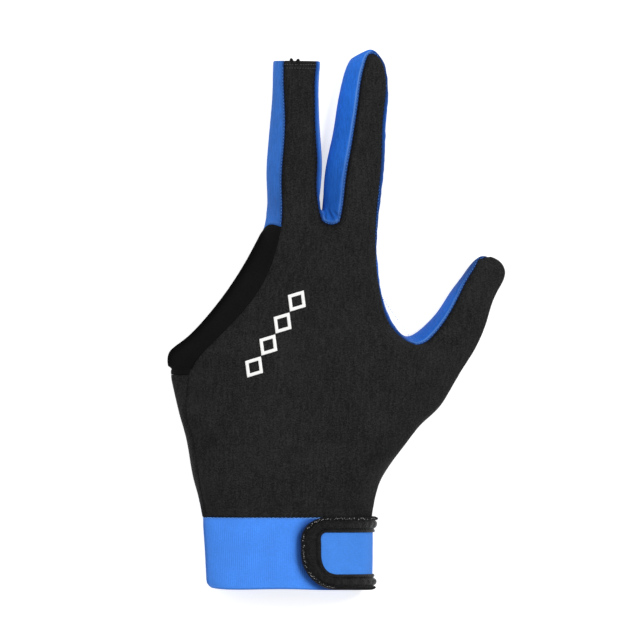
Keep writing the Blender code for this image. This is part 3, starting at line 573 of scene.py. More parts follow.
class Finger:
    """A finger's place in the plan, and the points of its sections in space."""

    def __init__(self, start, tilt, length, width, height, sections):
        self.base = Vector((start.across * PALM_WIDTH, start.along * PALM_LENGTH, 0.0))
        self.forward = Vector((math.sin(tilt), math.cos(tilt), 0.0))
        self.across = Vector((math.cos(tilt), -math.sin(tilt), 0.0))
        self.length = length
        self.width = width
        self.height = height
        self.sections = sections

    def place(self, along, offset, height):
        flat = self.base + self.forward * (along * self.length) + self.across * offset
        return Vector((flat.x, flat.y, height))

    def ring(self, section):
        """Top row, right side, under row and left side of a section, in space."""
        span = (section.right - section.left) * self.width

        def lay(point):
            along = section.along + section.slant * point[0] / span
            return self.place(along, point[0], point[1])

        top, right, low, left = ring(section, self.width, self.height, len(MIDDLE_COLUMNS))
        return [lay(p) for p in top], lay(right), [lay(p) for p in low], lay(left)

    def tip(self, tip):
        """The two end points of a fingertip, then the two on its seam, each from left to right."""
        tall = self.sections[-1].height * self.height
        return [
            self.place(along, across * self.width, high * tall)
            for along, across, high in (
                (tip.along, tip.left, 0.5),
                (tip.along, tip.right, 0.5),
                (tip.seam_along, tip.seam_left, tip.left_high),
                (tip.seam_along, tip.seam_right, tip.right_high),
            )
        ]


def coons(bottom, top, left, right):
    """Points of a sheet spanned by its four edges, as [row][column]."""
    rows, columns = len(left), len(bottom)
    sheet = []
    for r in range(rows):
        v = r / (rows - 1)
        line = []
        for c in range(columns):
            u = c / (columns - 1)
            along = bottom[c] * (1 - v) + top[c] * v
            across = left[r] * (1 - u) + right[r] * u
            corners = (bottom[0] * (1 - u) + bottom[-1] * u) * (1 - v)
            corners = corners + (top[0] * (1 - u) + top[-1] * u) * v
            line.append(along + across - corners)
        sheet.append(line)
    return sheet


class Cage:
    """The skin's control faces, with the points that the smooth surface passes through."""

    def __init__(self):
        self.points = []
        self.faces = []
        self.panels = []

    def add(self, point):
        self.points.append(tuple(point))
        return len(self.points) - 1

    def face(self, corners, panel):
        self.faces.append(tuple(corners))
        self.panels.append(panel)

    def strip(self, first, second, panels):
        """Faces between two closed loops of points."""
        count = len(first)
        for k in range(count):
            n = (k + 1) % count
            self.face((first[k], first[n], second[n], second[k]), panels[k])

    def loop(self, points):
        """The points of a ring in their order round it."""
        top, right, low, left = points
        return [self.add(p) for p in [*top, right, *reversed(low), left]]


def hand_fingers():
    middle = Finger(
        MIDDLE_START, MIDDLE_TILT, MIDDLE_LENGTH, MIDDLE_WIDTH, MIDDLE_HEIGHT, MIDDLE_SECTIONS
    )
    index = Finger(INDEX_START, INDEX_TILT, INDEX_LENGTH, INDEX_WIDTH, INDEX_HEIGHT, INDEX_SECTIONS)
    thumb = Finger(THUMB_START, THUMB_TILT, THUMB_LENGTH, THUMB_WIDTH, THUMB_HEIGHT, THUMB_SECTIONS)
    return middle, index, thumb


def on_palm(across, along, height):
    return Vector((across * PALM_WIDTH, along * PALM_LENGTH, height * PALM_HEIGHT))


def side_labels(sides):
    """The panel of each face round a finger: three over it, three under it, two on each side."""
    return [BACK] * 3 + [sides[3], sides[4]] + [PALM] * 3 + [sides[8], sides[9]]


def grow_finger(cage, finger, base_loop, sides, tip):
    labels = side_labels(sides)
    previous = base_loop
    for section in finger.sections[1:]:
        current = cage.loop(finger.ring(section))
        cage.strip(previous, current, labels)
        previous = current
    if tip is None:
        return
    near, far, crest, brow = (cage.add(p) for p in finger.tip(tip))
    t0, t1, t2, t3, right, b3, b2, b1, b0, left = previous
    cage.face((t0, crest, near, left), sides[9])
    cage.face((t0, t1, crest), BACK)
    cage.face((t1, t2, brow, crest), BACK)
    cage.face((t2, t3, brow), BACK)
    cage.face((t3, right, far, brow), sides[3])
    cage.face((crest, brow, far, near), sides[3])
    cage.face((right, b3, b2, far), sides[4])
    cage.face((far, b2, b1, near), sides[4])
    cage.face((near, b1, b0, left), sides[8])


def hand_cage():
    """The whole skin: the hand's two sheets and its sides, then the three fingers."""
    cage = Cage()
    middle, index, thumb = hand_fingers()
    wrist = ring(WRIST_SECTION, WRIST_WIDTH, WRIST_HEIGHT, len(HAND_COLUMNS))
    middle_base = middle.ring(MIDDLE_SECTIONS[0])
    index_base = index.ring(INDEX_SECTIONS[0])
    thumb_base = thumb.ring(THUMB_SECTIONS[0])
    rows = range(KNUCKLE_ROW + 1)
    thumb_rows = range(THUMB_TOP_ROW, THUMB_LOW_ROW - 1, -1)

    def sheet(part, seam_height):
        """One sheet of the hand, part 0 of each ring being its top row and part 2 its under row."""
        bottom = [Vector((x, 0.0, z)) for x, z in wrist[part]]
        top = [*middle_base[part], *index_base[part]]
        left = [bottom[0], *(seam(LEFT_EDGE[r], seam_height) for r in rows[1:-1]), top[0]]
        thumb_points = dict(zip(thumb_rows, thumb_base[part]))
        right = [bottom[-1]]
        for r in rows[1:-1]:
            right.append(thumb_points[r] if r in thumb_points else seam(RIGHT_EDGE[r], seam_height))
        right.append(top[-1])
        return coons(bottom, top, left, right)

    def seam(edge, seam_height):
        return on_palm(edge.seam_across, edge.seam_along, getattr(edge, seam_height))

    over, under = sheet(0, "seam_high"), sheet(2, "seam_low")
    for r in rows[1:-1]:
        for c in range(1, len(HAND_COLUMNS) - 1):
            u = c / (len(HAND_COLUMNS) - 1)
            crown = 1 - abs(2 * u - 1) ** CROWN_POWER
            crest = ROW_HEIGHTS[r] * PALM_HEIGHT
            over[r][c].z += (crest - over[r][c].z) * crown
            under[r][c].z *= 1 - crown
    top = [[None, *(cage.add(p) for p in line)] for line in over]
    low = [[None, *(cage.add(p) for p in line)] for line in under]

    left_wrist = cage.add((wrist[3][0], 0.0, wrist[3][1]))
    right_wrist = cage.add((wrist[1][0], 0.0, wrist[1][1]))
    left_high, left_low = {WRIST_ROW: left_wrist}, {WRIST_ROW: left_wrist}
    for r, edge in LEFT_EDGE.items():
        left_high[r] = cage.add(on_palm(edge.across, edge.along, edge.high))
        left_low[r] = left_high[r]
        if r > MOUTH_ROW:
            left_low[r] = cage.add(on_palm(edge.across, edge.along, edge.low))
    left_high[KNUCKLE_ROW] = left_low[KNUCKLE_ROW] = cage.add(middle_base[3])
    right = {WRIST_ROW: right_wrist}
    for r, edge in RIGHT_EDGE.items():
        right[r] = cage.add(on_palm(edge.across, edge.along, edge.high))
    right[THUMB_LOW_ROW] = cage.add(thumb_base[1])
    right[THUMB_TOP_ROW] = cage.add(thumb_base[3])
    right[KNUCKLE_ROW] = cage.add(index_base[1])

    for r in rows[:-1]:
        for c in HAND_COLUMNS[:-1]:
            cage.face((top[r][c], top[r][c + 1], top[r + 1][c + 1], top[r + 1][c]), BACK)
            cage.face((low[r][c + 1], low[r][c], low[r + 1][c], low[r + 1][c + 1]), PALM)
        label = BAND if r >= MOUTH_ROW - 1 else PALM
        cage.face((left_high[r], top[r][1], top[r + 1][1], left_high[r + 1]), label)
        cage.face((low[r][1], left_low[r], left_low[r + 1], low[r + 1][1]), label)
        if THUMB_LOW_ROW <= r < THUMB_TOP_ROW:
            continue
        upper, lower = (BACK, PALM) if r < THUMB_LOW_ROW else (GUSSET, GUSSET)
        cage.face((top[r][8], right[r], right[r + 1], top[r + 1][8]), upper)
        cage.face((right[r], low[r][8], low[r + 1][8], right[r + 1]), lower)

    cleft = Vector((CLEFT.across * PALM_WIDTH, CLEFT.along * PALM_LENGTH, middle_base[1].z))
    half = Vector((0.5 * CLEFT_WIDTH, 0.0, 0.0))
    cleft_left, cleft_right = cage.add(cleft - half), cage.add(cleft + half)
    knuckles, under_knuckles = top[KNUCKLE_ROW], low[KNUCKLE_ROW]
    cage.face((knuckles[4], knuckles[5], cleft_right, cleft_left), GUSSET)
    cage.face((cleft_left, cleft_right, under_knuckles[5], under_knuckles[4]), GUSSET)

    middle_loop = [
        *(knuckles[c] for c in MIDDLE_COLUMNS), cleft_left,
        *(under_knuckles[c] for c in reversed(MIDDLE_COLUMNS)), left_high[KNUCKLE_ROW],
    ]
    index_loop = [
        *(knuckles[c] for c in INDEX_COLUMNS), right[KNUCKLE_ROW],
        *(under_knuckles[c] for c in reversed(INDEX_COLUMNS)), cleft_right,
    ]
    thumb_loop = [
        *(top[r][8] for r in thumb_rows), right[THUMB_LOW_ROW],
        *(low[r][8] for r in reversed(thumb_rows)), right[THUMB_TOP_ROW],
    ]
    grow_finger(cage, middle, middle_loop, MIDDLE_SIDES, None)
    grow_finger(cage, index, index_loop, INDEX_SIDES, INDEX_TIP)
    grow_finger(cage, thumb, thumb_loop, THUMB_SIDES, THUMB_TIP)
    return cage


def fitted_skin(cage):
    """The smooth surface through the cage's points as arrays: points, normals, quads, panels."""
    mesh = bpy.data.meshes.new("skin")
    mesh.from_pydata(cage.points, [], cage.faces)
    mesh.polygons.foreach_set("material_index", cage.panels)
    helper = bpy.data.objects.new("skin", mesh)
    bpy.context.scene.collection.objects.link(helper)
    smooth = helper.modifiers.new("smooth", "SUBSURF")
    smooth.levels = smooth.render_levels = SURFACE_LEVEL
    target = np.array(cage.points)
    control = target.copy()
    for _ in range(FIT_ROUNDS):
        mesh.vertices.foreach_set("co", control.ravel())
        mesh.update()
        bpy.context.view_layer.update()
        seen = helper.evaluated_get(bpy.context.evaluated_depsgraph_get()).data
        reached = np.empty(len(seen.vertices) * 3)
        seen.vertices.foreach_get("co", reached)
        control += target - reached.reshape(-1, 3)[: len(target)]
    mesh.vertices.foreach_set("co", control.ravel())
    mesh.update()
    smooth.levels = smooth.render_levels = FINE_LEVEL
    bpy.context.view_layer.update()
    seen = helper.evaluated_get(bpy.context.evaluated_depsgraph_get()).data
    points = np.empty(len(seen.vertices) * 3)
    seen.vertices.foreach_get("co", points)
    normals = np.empty(len(seen.vertices) * 3)
    seen.vertex_normals.foreach_get("vector", normals)
    corners = np.empty(len(seen.loops), np.int64)
    seen.loops.foreach_get("vertex_index", corners)
    panels = np.empty(len(seen.polygons), np.int32)
    seen.polygons.foreach_get("material_index", panels)
    bpy.data.objects.remove(helper, do_unlink=True)
    bpy.data.meshes.remove(mesh)
    return points.reshape(-1, 3), normals.reshape(-1, 3), corners.reshape(-1, 4), panels


def quad_edges(quads):
    """Each side of each quad as (from, to), in the quads' order."""
    return np.stack([quads, np.roll(quads, -1, axis=1)], axis=2).reshape(-1, 2)


def edge_table(quads):
    """The distinct edges, how often each is used, and which of them each quad side is."""
    sides = np.sort(quad_edges(quads), axis=1)
    edges, which, uses = np.unique(sides, axis=0, return_inverse=True, return_counts=True)
    return edges, which.reshape(-1), uses


def smooth_step(value):
    value = np.clip(value, 0.0, 1.0)
    return value * value * (3 - 2 * value)


def hump(values, width, place=0.0):
    """A bell shape of this width round a place: 1 there, and soon 0 on both sides."""
    return np.exp(-((values - place) / width) ** 2)


def waves(distance, parts):
    return sum(part.height * np.sin(distance / part.reach + part.turn) for part in parts)


def wander(distance, wave):
    return wave.height * np.sin(distance / wave.reach + wave.sway * np.sin(distance / wave.sway_reach))


def ripple(points, size, seed):
    """A soft uneven wave through space, between about -1 and 1, with waves of about this size."""
    draw = np.random.default_rng(seed)
    total = np.zeros(len(points))
    for _ in range(RIPPLE_WAVES):
        direction = draw.normal(size=3)
        direction /= np.linalg.norm(direction)
        length = size * draw.uniform(*RIPPLE_SPREAD)
        total += np.sin(points @ direction * (2 * math.pi / length) + draw.uniform(0, 2 * math.pi))
    return total / RIPPLE_EVENNESS


def nearest(points, tree):
    """For each point the number of the nearest entry of the tree, and how far it is."""
    found = [tree.find(p) for p in points]
    return np.array([f[1] for f in found]), np.array([f[2] for f in found])


def tree_of(points):
    tree = KDTree(len(points))
    for k, point in enumerate(points):
        tree.insert(point, k)
    tree.balance()
    return tree


def press(points, normals):
    """The folds of the back, as shallow valleys with a raised lip on each side, and how deep
    in a fine fold each point lies, from 0 to 1."""
    moved, deep = np.zeros(len(points)), np.zeros(len(points))
    for fold in FOLDS + FINE_FOLDS:
        start = np.array([fold.across * PALM_WIDTH, fold.along * PALM_LENGTH])
        line = np.array([fold.to_across * PALM_WIDTH, fold.to_along * PALM_LENGTH]) - start
        away = points[:, :2] - start
        share = np.clip(away @ line / (line @ line), 0.0, 1.0)
        distance = np.linalg.norm(away - share[:, None] * line, axis=1) / (fold.width * PALM_HEIGHT)
        fade = np.sin(math.pi * (FOLD_START + FOLD_SPAN * share))
        valley = hump(distance, 1.0) - LIP_SHARE * hump(distance, LIP_WIDTH, LIP_PLACE)
        moved += fold.depth * FOLD_DEPTH * fade * valley
        if fold in FINE_FOLDS:
            deep += np.maximum(fold.depth, 0.0) * fade * hump(distance, 1.0)
    facing = np.maximum(normals[:, 2], 0.0)
    return moved * facing, np.minimum(1.0, deep * facing)


def painted_cleft_thumb_shade(points):
    """Painted shade: how far light is kept off by the fingers on each side, in the cleft and up the
    thumb.
    """
    _, _, thumb = hand_fingers()
    cleft = np.array([CLEFT.across * PALM_WIDTH, CLEFT.along * PALM_LENGTH])
    near_cleft = hump(np.linalg.norm(points[:, :2] - cleft, axis=1), CLEFT_DUSK)
    away = points[:, :2] - np.array(thumb.base[:2])
    along = away @ np.array(thumb.forward[:2]) / THUMB_LENGTH
    beside = np.abs(away @ np.array(thumb.across[:2])) < THUMB_WIDTH
    first, last = THUMB_DUSK
    least, most = THUMB_DARKNESS
    up_thumb = least + (most - least) * smooth_step((along - first) / (last - first))
    return np.maximum(CLEFT_DARKNESS * near_cleft, up_thumb * beside)


def flanks(points, normals):
    """How far each point faces the thumb on the middle finger, and on the forefinger: where painted
    shade lies on those flanks.
    """
    _, index, _ = hand_fingers()
    facing = smooth_step((normals[:, 0] - FLANK_FACING) / FLANK_FADE)
    beyond = (points[:, :2] - np.array(index.base[:2])) @ np.array(index.across[:2]) > 0
    return np.where(beyond, 0.0, facing), np.where(beyond, facing, 0.0)


class Skin:
    """The fine surface with its seams pressed in, and what the panels and the thread need of it."""

    def __init__(self):
        points, normals, self.quads, self.panels = fitted_skin(hand_cage())
        points[:, 2] = np.maximum(
            0.0, points[:, 2] - FLATTENED * np.exp(-(points[:, 2] / (3 * FLATTENED)) ** 2)
        )
        edges, which, uses = edge_table(self.quads)
        label = np.repeat(self.panels, 4)
        low, high = np.full(len(edges), len(PANELS)), np.full(len(edges), -1)
        np.minimum.at(low, which, label)
        np.maximum.at(high, which, label)
        self.seams = edges[(uses == 2) & (low != high)]
        self.seam_kinds = np.stack([low, high], axis=1)[(uses == 2) & (low != high)]
        self.free = edges[uses == 1]

        middles = 0.5 * (points[self.seams[:, 0]] + points[self.seams[:, 1]])
        spots = np.concatenate([points[self.seams[:, 0]], middles])
        drop_of = np.where(self.seam_kinds[:, 1] == BAND, BAND_DROP, SEAM_DROP)
        drop_of[(self.seam_kinds == (BACK, PALM)).all(axis=1)] = BLACK_SEAM_DROP
        drops = np.tile(drop_of, 2)
        number, self.to_seam = nearest(points, tree_of(spots))
        drop = drops[number]
        strength = drop / SEAM_DROP
        _, self.to_edge = nearest(points, tree_of(points[np.unique(self.free)]))

        lifted = smooth_step(points[:, 2] / RESTING)
        pucker = ripple(points, PUCKER_SIZE, PUCKER_SEED)
        puff = hump(self.to_seam, PUFF_HALF_WIDTH, PUFF_PLACE)
        moved = SEAM_PUFF * strength * puff * (1 + PUCKER_SHARE * pucker)
        moved -= drop * hump(self.to_seam, SEAM_HALF_WIDTH)
        moved += RIPPLE_DEPTH * ripple(points, RIPPLE_SIZE, RIPPLE_SEED)
        pressed, self.painted_fold_shade = press(points, normals)
        moved -= pressed
        self.points = points + normals * (moved * lifted)[:, None]
        self.points[:, 2] = np.maximum(self.points[:, 2], 0.0)
        self.normals = normals
        # Painted shade: darker in the seams' grooves, as deep as each groove, and in the creases of
        # the fine folds
        self.painted_seam_fold_shade = hump(self.to_seam, SEAM_SHADE_WIDTH) * np.minimum(strength, 1)
        # Painted shade along the free edges, where the cloth rounds away from the light
        self.painted_edge_shade = hump(self.to_edge, EDGE_SHADE_WIDTH)
        self.painted_seam_fold_shade = np.maximum(self.painted_seam_fold_shade, PAINTED_FOLD_SHADE * self.painted_fold_shade)
        # Painted shade in the cleft and up the thumb
        self.painted_cleft_thumb_shade = painted_cleft_thumb_shade(points)
        # Painted shade on the flanks that face the thumb, beside their seams, where they turn from the
        # light
        on_middle, on_index = flanks(points, normals)
        flank_share = on_index + MIDDLE_FLANK_SHARE * on_middle
        painted_flank_shade = flank_share * hump(self.to_seam, FLANK_SHADE_WIDTH)
        self.painted_seam_flank_shade = np.maximum(self.painted_seam_fold_shade, painted_flank_shade)
        # Painted highlight: a pale line beside the seams, dimmed by the painted shade of cleft and
        # thumb, none on the forefinger's flank, and a wider one on the middle finger's flank
        line = (1 - self.painted_cleft_thumb_shade) * hump(self.to_seam, PALE_LINE_WIDTH, PALE_LINE_PLACE)
        painted_flank_highlight = FLANK_LINE_SHARE * hump(self.to_seam, FLANK_LINE_WIDTH, FLANK_LINE_PLACE)
        self.pale = (1 - on_middle - on_index) * line + on_middle * painted_flank_highlight
        self.tree = BVHTree.FromPolygons(self.points.tolist(), self.quads.tolist())

    def over(self, x, y):
        """The point of the upper surface above a place in the plan, and its normal."""
        found = self.tree.ray_cast(Vector((x, y, 1.0)), Vector((0.0, 0.0, -1.0)))
        return found[0], found[1]


def pinched(quads, ends):
    """Gives each fan of quads at a point that two fans share a number of its own, so that
    quads meeting only at that point come apart there."""
    counts = np.bincount(ends.ravel(), minlength=quads.max() + 1)
    sources = list(range(quads.max() + 1))
    rim = {tuple(sorted(e)) for e in ends.tolist()}
    for v in np.flatnonzero(counts > 2):
        around = np.flatnonzero((quads == v).any(axis=1)).tolist()
        seen = set()
        first = True
        for begin in around:
            if begin in seen:
                continue
            fan, queue = [], [begin]
            seen.add(begin)
            while queue:
                q = queue.pop()
                fan.append(q)
                mine = {tuple(sorted(e)) for e in quad_edges(quads[q][None]).tolist() if v in e} - rim
                for other in around:
                    if other in seen:
                        continue
                    theirs = {tuple(sorted(e)) for e in quad_edges(quads[other][None]).tolist()}
                    if mine & theirs:
                        seen.add(other)
                        queue.append(other)
            if not first:
                for q in fan:
                    quads[q][quads[q] == v] = len(sources)
                sources.append(int(v))
            first = False
    return np.array(sources)


def make_mesh(name, points, faces, **shades):
    """A smooth-shaded mesh from points and faces, with one number a point for each painted shade and
    highlight.
    """
    mesh = bpy.data.meshes.new(name)
    mesh.from_pydata(np.asarray(points).tolist(), [], faces)
    mesh.shade_smooth()
    for shade, values in shades.items():
        attribute = mesh.attributes.new(shade, "FLOAT", "POINT")
        attribute.data.foreach_set("value", np.asarray(values, np.float32))
    return mesh


def panel_piece(skin, number, material):
    """A panel as a closed shell with a rounded rim, which stands for the CAD panel."""
    quads = skin.quads[skin.panels == number].copy()
    edges, which, uses = edge_table(quads)
    sources = pinched(quads, edges[uses == 1])
    sides = quad_edges(quads)
    edges, which, uses = edge_table(quads)
    rim_sides = sides[uses[which] == 1]
    kept, flat = np.unique(quads, return_inverse=True)
    quads = flat.reshape(-1, 4)
    place = np.full(len(sources), -1)
    place[kept] = np.arange(len(kept))
    rim = place[rim_sides]
    source = sources[kept]
    points, normals = skin.points[source], skin.normals[source]

    free_points = set(np.unique(skin.free).tolist())
    is_free = np.array([s in free_points for s in source.tolist()])
    inward = np.zeros_like(points)
    along = points[rim[:, 1]] - points[rim[:, 0]]
    along /= np.maximum(np.linalg.norm(along, axis=1), TINY)[:, None]
    for end in (0, 1):
        np.add.at(inward, rim[:, end], np.cross(normals[rim[:, end]], along))
    inward /= np.maximum(np.linalg.norm(inward, axis=1), TINY)[:, None]
    at_rim = np.unique(rim)
    outer = points.copy()
    outer[at_rim] += inward[at_rim] * np.where(is_free[at_rim], 0.0, SEAM_DRAW)[:, None]
    outer[:, 2] = np.maximum(outer[:, 2], 0.0)
    inner = outer - normals * KNIT_WALL

    count = len(outer)
    layers = [outer, inner]
    rings = []
    number_of = np.full(count, -1)
    number_of[at_rim] = np.arange(len(at_rim))
    bulge = np.where(is_free[at_rim], 0.5 * KNIT_WALL, 0.0)[:, None]
    for step in range(1, RIM_STEPS):
        turn = math.pi * step / RIM_STEPS
        share = 0.5 * (1 - math.cos(turn))
        ring_points = outer[at_rim] * (1 - share) + inner[at_rim] * share
        layers.append(ring_points - inward[at_rim] * bulge * math.sin(turn))
        rings.append(2 * count + (step - 1) * len(at_rim))
    faces = quads.tolist() + (quads[:, ::-1] + count).tolist()
    for a, b in rim.tolist():
        column = [a] + [r + number_of[a] for r in rings] + [a + count]
        beside = [b] + [r + number_of[b] for r in rings] + [b + count]
        for k in range(RIM_STEPS):
            faces.append((beside[k], column[k], column[k + 1], beside[k + 1]))
    stacked = np.concatenate(layers)
    shades = {}
    # Each panel carries the skin's painted light: painted shade in seams, folds, edges, cleft, thumb
    # and flanks, and the pale painted highlight beside the seams
    for shade, values in (
        ("seam", skin.painted_seam_fold_shade), ("edge", skin.painted_edge_shade), ("painted_cleft_thumb_shade", skin.painted_cleft_thumb_shade),
        ("painted_seam_flank_shade", skin.painted_seam_flank_shade), ("pale", skin.pale),
    ):
        values = values[source]
        shades[shade] = np.concatenate([values, values] + [values[at_rim]] * len(rings))
    mesh = make_mesh(PANELS[number], stacked, faces, **shades)
    return add_piece("cloth_" + PANELS[number], mesh, material, (PANELS[number],))


def add_piece(name, mesh, material, nodes=()):
    """An object in its place in the CAD's frame, riding on the one body."""
    mesh.materials.append(material)
    piece = bpy.data.objects.new(name, mesh)
    bpy.context.scene.collection.objects.link(piece)
    piece.location = (SHIFT[0], SHIFT[1], 0.0)
    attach(piece, "root")
    if nodes:
        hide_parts(*nodes)
    return piece


def cuff_size(along):
    """Middle, half width and height of the cuff's outside at shares of its length."""
    shares = [s.along for s in CUFF_SECTIONS]
    left = np.interp(along, shares, [s.left for s in CUFF_SECTIONS]) * WRIST_WIDTH
    right = np.interp(along, shares, [s.right for s in CUFF_SECTIONS]) * WRIST_WIDTH
    right = right - np.interp(along, shares, [s.pull for s in CUFF_SECTIONS]) * CUFF_PULL
    return 0.5 * (left + right), 0.5 * (right - left), WRIST_HEIGHT


def cuff_points(angle, along, lift):
    """Points over the cuff, from arrays of angles, shares of its length and lifts."""
    middle, half, height = cuff_size(along)

    def spot(turn):
        rise = np.sin(turn)
        power = np.where(rise > 0, TOP_ROUNDNESS, UNDER_ROUNDNESS)
        up = np.sign(rise) * np.abs(rise) ** power
        return middle + half * np.cos(turn), 0.5 * height * (1 + up)

    x0, z0 = spot(angle - ANGLE_STEP)
    x1, z1 = spot(angle + ANGLE_STEP)
    x, z = spot(angle)
    long = np.hypot(z1 - z0, x0 - x1)
    y = -PIECE_GAP - along * CUFF_LENGTH
    z = np.maximum(0.0, z + (x0 - x1) / long * lift)
    return np.stack([x + (z1 - z0) / long * lift, y + 0 * x, z], axis=-1)


def between(a, b):
    """Quads between rows of closed loops of point numbers."""
    sides = np.stack([a, np.roll(a, -1, axis=1), np.roll(b, -1, axis=1), b], axis=-1)
    return sides.reshape(-1, 4).tolist()


def sweep(name, sections, shade=None):
    """A closed body from sections in a row, each a closed loop of the same count of points."""
    count, around, _ = sections.shape
    index = np.arange(count * around).reshape(count, around)
    faces = between(index[:-1], index[1:])
    faces += [index[0][::-1].tolist(), index[-1].tolist()]
    points = sections.reshape(-1, 3)
    solid = bmesh.new()
    made = [solid.verts.new(p) for p in points.tolist()]
    for face in faces:
        solid.faces.new([made[k] for k in face])
    bmesh.ops.recalc_face_normals(solid, faces=solid.faces)
    mesh = bpy.data.meshes.new(name)
    solid.to_mesh(mesh)
    solid.free()
    mesh.shade_smooth()
    # Painted shade goes into the mesh's value named seam, which the material reads
    if shade is not None:
        attribute = mesh.attributes.new("seam", "FLOAT", "POINT")
        attribute.data.foreach_set("value", np.asarray(shade, np.float32).ravel())
    return mesh


def hem_profile(wall, long):
    """A strip's closed section as (along, drop below its outside, hem): two round hems."""
    radius = 0.5 * wall
    turns = np.linspace(0.0, 0.5 * math.pi, HEM_STEPS)
    near = [(radius * (1 - math.cos(t)), radius * (1 - math.sin(t))) for t in turns]
    middle = np.linspace(radius, long - radius, CUFF_FINE_ROWS)[1:-1]
    top = near + [(m, 0.0) for m in middle] + [(long - a, d) for a, d in reversed(near)]
    under = [(a, wall - d) for a, d in reversed(top[1:-1])]
    return np.array(top + under)


def cuff_mesh(wrap):
    """The elastic cuff: fine ribs along it, a scalloped knit-side edge and a rounded hem, with a
    painted shadow beside the tab and painted shade on its hems and sides.
    """
    half_slit = 0.5 * SLIT_WIDTH / (0.5 * WRIST_HEIGHT)
    first, last = SLIT_ANGLE + half_slit, SLIT_ANGLE - half_slit + 2 * math.pi
    fine = np.linspace(first, last, CUFF_SAMPLES)
    line = cuff_points(fine, 0.5 + 0 * fine, 0.0)
    round_it = np.concatenate([[0.0], np.cumsum(np.linalg.norm(np.diff(line, axis=0), axis=1))])
    steps = int(round_it[-1] / RIB_PITCH * RIB_STEPS)
    distance = np.linspace(0.0, round_it[-1], steps)
    angle = np.interp(distance, round_it, fine)
    profile = hem_profile(CUFF_WALL, CUFF_LENGTH)
    along = profile[:, 0] / CUFF_LENGTH
    rib = 0.5 - 0.5 * np.cos(2 * math.pi * distance / RIB_PITCH + waves(distance, RIB_SWAY))
    outside = profile[:, 1] < 0.5 * CUFF_WALL
    away = np.minimum(along, 1 - along) * CUFF_LENGTH
    fade = smooth_step(away / RIB_FADE)
    lift = -profile[None, :, 1] - np.where(outside, 1, -1)[None] * RIB_DEPTH * rib[:, None] * fade
    wave = wander(distance, HEM_WAVE)
    scallop = SCALLOP_DEPTH * np.abs(np.sin(math.pi * distance / SCALLOP_PITCH))
    spot = cuff_points(
        np.repeat(angle[:, None], len(along), axis=1),
        np.repeat(along[None], len(angle), axis=0),
        lift,
    )
    low_share = smooth_step((along - HEM_WAVE_START) / (1 - HEM_WAVE_START))
    high_share = 1 - smooth_step(along * SCALLOP_FADE)
    spot[:, :, 1] += wave[:, None] * low_share - scallop[:, None] * high_share
    corner = smooth_step((along - HEM_CORNER) / (1 - HEM_CORNER))[None] ** 2
    outward = np.maximum(0.0, -np.cos(angle))[:, None] ** 4
    spot[:, :, 0] += HEM_CORNER_PULL * corner * outward
    spot[:, :, 1] += 0.5 * HEM_CORNER_PULL * corner * outward
    # Painted shadow beside the tab, and painted shade on the hems and on the sides that turn from the
    # light
    _, line, _ = tab_outline()
    _, to_tab = nearest(spot.reshape(-1, 3), tree_of(wrap.points(line[:, 0], line[:, 1], 0.0)))
    painted_tab_shadow = PAINTED_TAB_SHADOW * hump(to_tab, PAINTED_TAB_SHADOW_WIDTH).reshape(spot.shape[:2])
    painted_hem_shade = HEM_SHADE * hump(away, HEM_SHADE_WIDTH)[None]
    sideways = (np.abs(np.cos(angle)) - SIDE_SHADE_START) / (1 - SIDE_SHADE_START)
    painted_side_shade = SIDE_SHADE * smooth_step(sideways)[:, None]
    return sweep("wrist_cuff", spot, np.maximum(painted_tab_shadow, np.maximum(painted_hem_shade, painted_side_shade)))


class Wrap:
    """Distance round the outside of the cuff, measured from the strap's root to its tab."""

    def __init__(self, lift):
        self.angles = np.linspace(STRAP_ROOT_ANGLE, STRAP_ROOT_ANGLE + math.pi, WRAP_SAMPLES)
        line = cuff_points(self.angles, 0.5 + 0 * self.angles, lift)
        steps = np.linalg.norm(np.diff(line, axis=0), axis=1)
        self.distances = np.concatenate([[0.0], np.cumsum(steps)])

    def points(self, distance, down, lift):
        angle = np.interp(distance, self.distances, self.angles)
        return cuff_points(angle, down / CUFF_LENGTH, lift)


def strap_levels():
    """Distances out from the cuff of each layer of the strap, from and to."""
    under = (PIECE_GAP, PIECE_GAP + BINDING_WALL)
    core = (under[1] + PIECE_GAP, under[1] + PIECE_GAP + STRAP_WALL)
    over = (core[1] + PIECE_GAP, core[1] + PIECE_GAP + BINDING_WALL)
    return under, core, over


def tab_outline():
    """The strap's edge as (distance, down) in even fine steps: out along the knit side, round
    the tab and back along the free edge, with the direction into the tab at each point."""
    top, low, width = TAB_TOP_RADIUS, TAB_BOTTOM_RADIUS, CUFF_LENGTH
    turns = np.linspace(0.0, 0.5 * math.pi, STRAP_SAMPLES)
    corner = np.stack([STRAP_REACH - top + top * np.sin(turns), top - top * np.cos(turns)], axis=1)
    other = np.stack(
        [STRAP_REACH - low + low * np.cos(turns), width - low + low * np.sin(turns)], axis=1
    )
    rough = np.concatenate([[(0.0, 0.0)], corner, other, [(0.0, width)]])
    steps = np.concatenate([[0.0], np.cumsum(np.linalg.norm(np.diff(rough, axis=0), axis=1))])
    even = np.linspace(0.0, steps[-1], 2 * int(0.5 * steps[-1] / STRAP_FINE_STEP))
    line = np.stack([np.interp(even, steps, rough[:, k]) for k in (0, 1)], axis=1)
    ahead = np.gradient(line, axis=0)
    ahead /= np.linalg.norm(ahead, axis=1)[:, None]
    return even, line, np.stack([-ahead[:, 1], ahead[:, 0]], axis=1)


def binding_width(line):
    share = np.clip((line[:, 0] - (STRAP_REACH - TAB_TOP_RADIUS)) / TAB_TOP_RADIUS, 0.0, 1.0)
    return BINDING_WIDTH + (BINDING_END_WIDTH - BINDING_WIDTH) * share ** 2


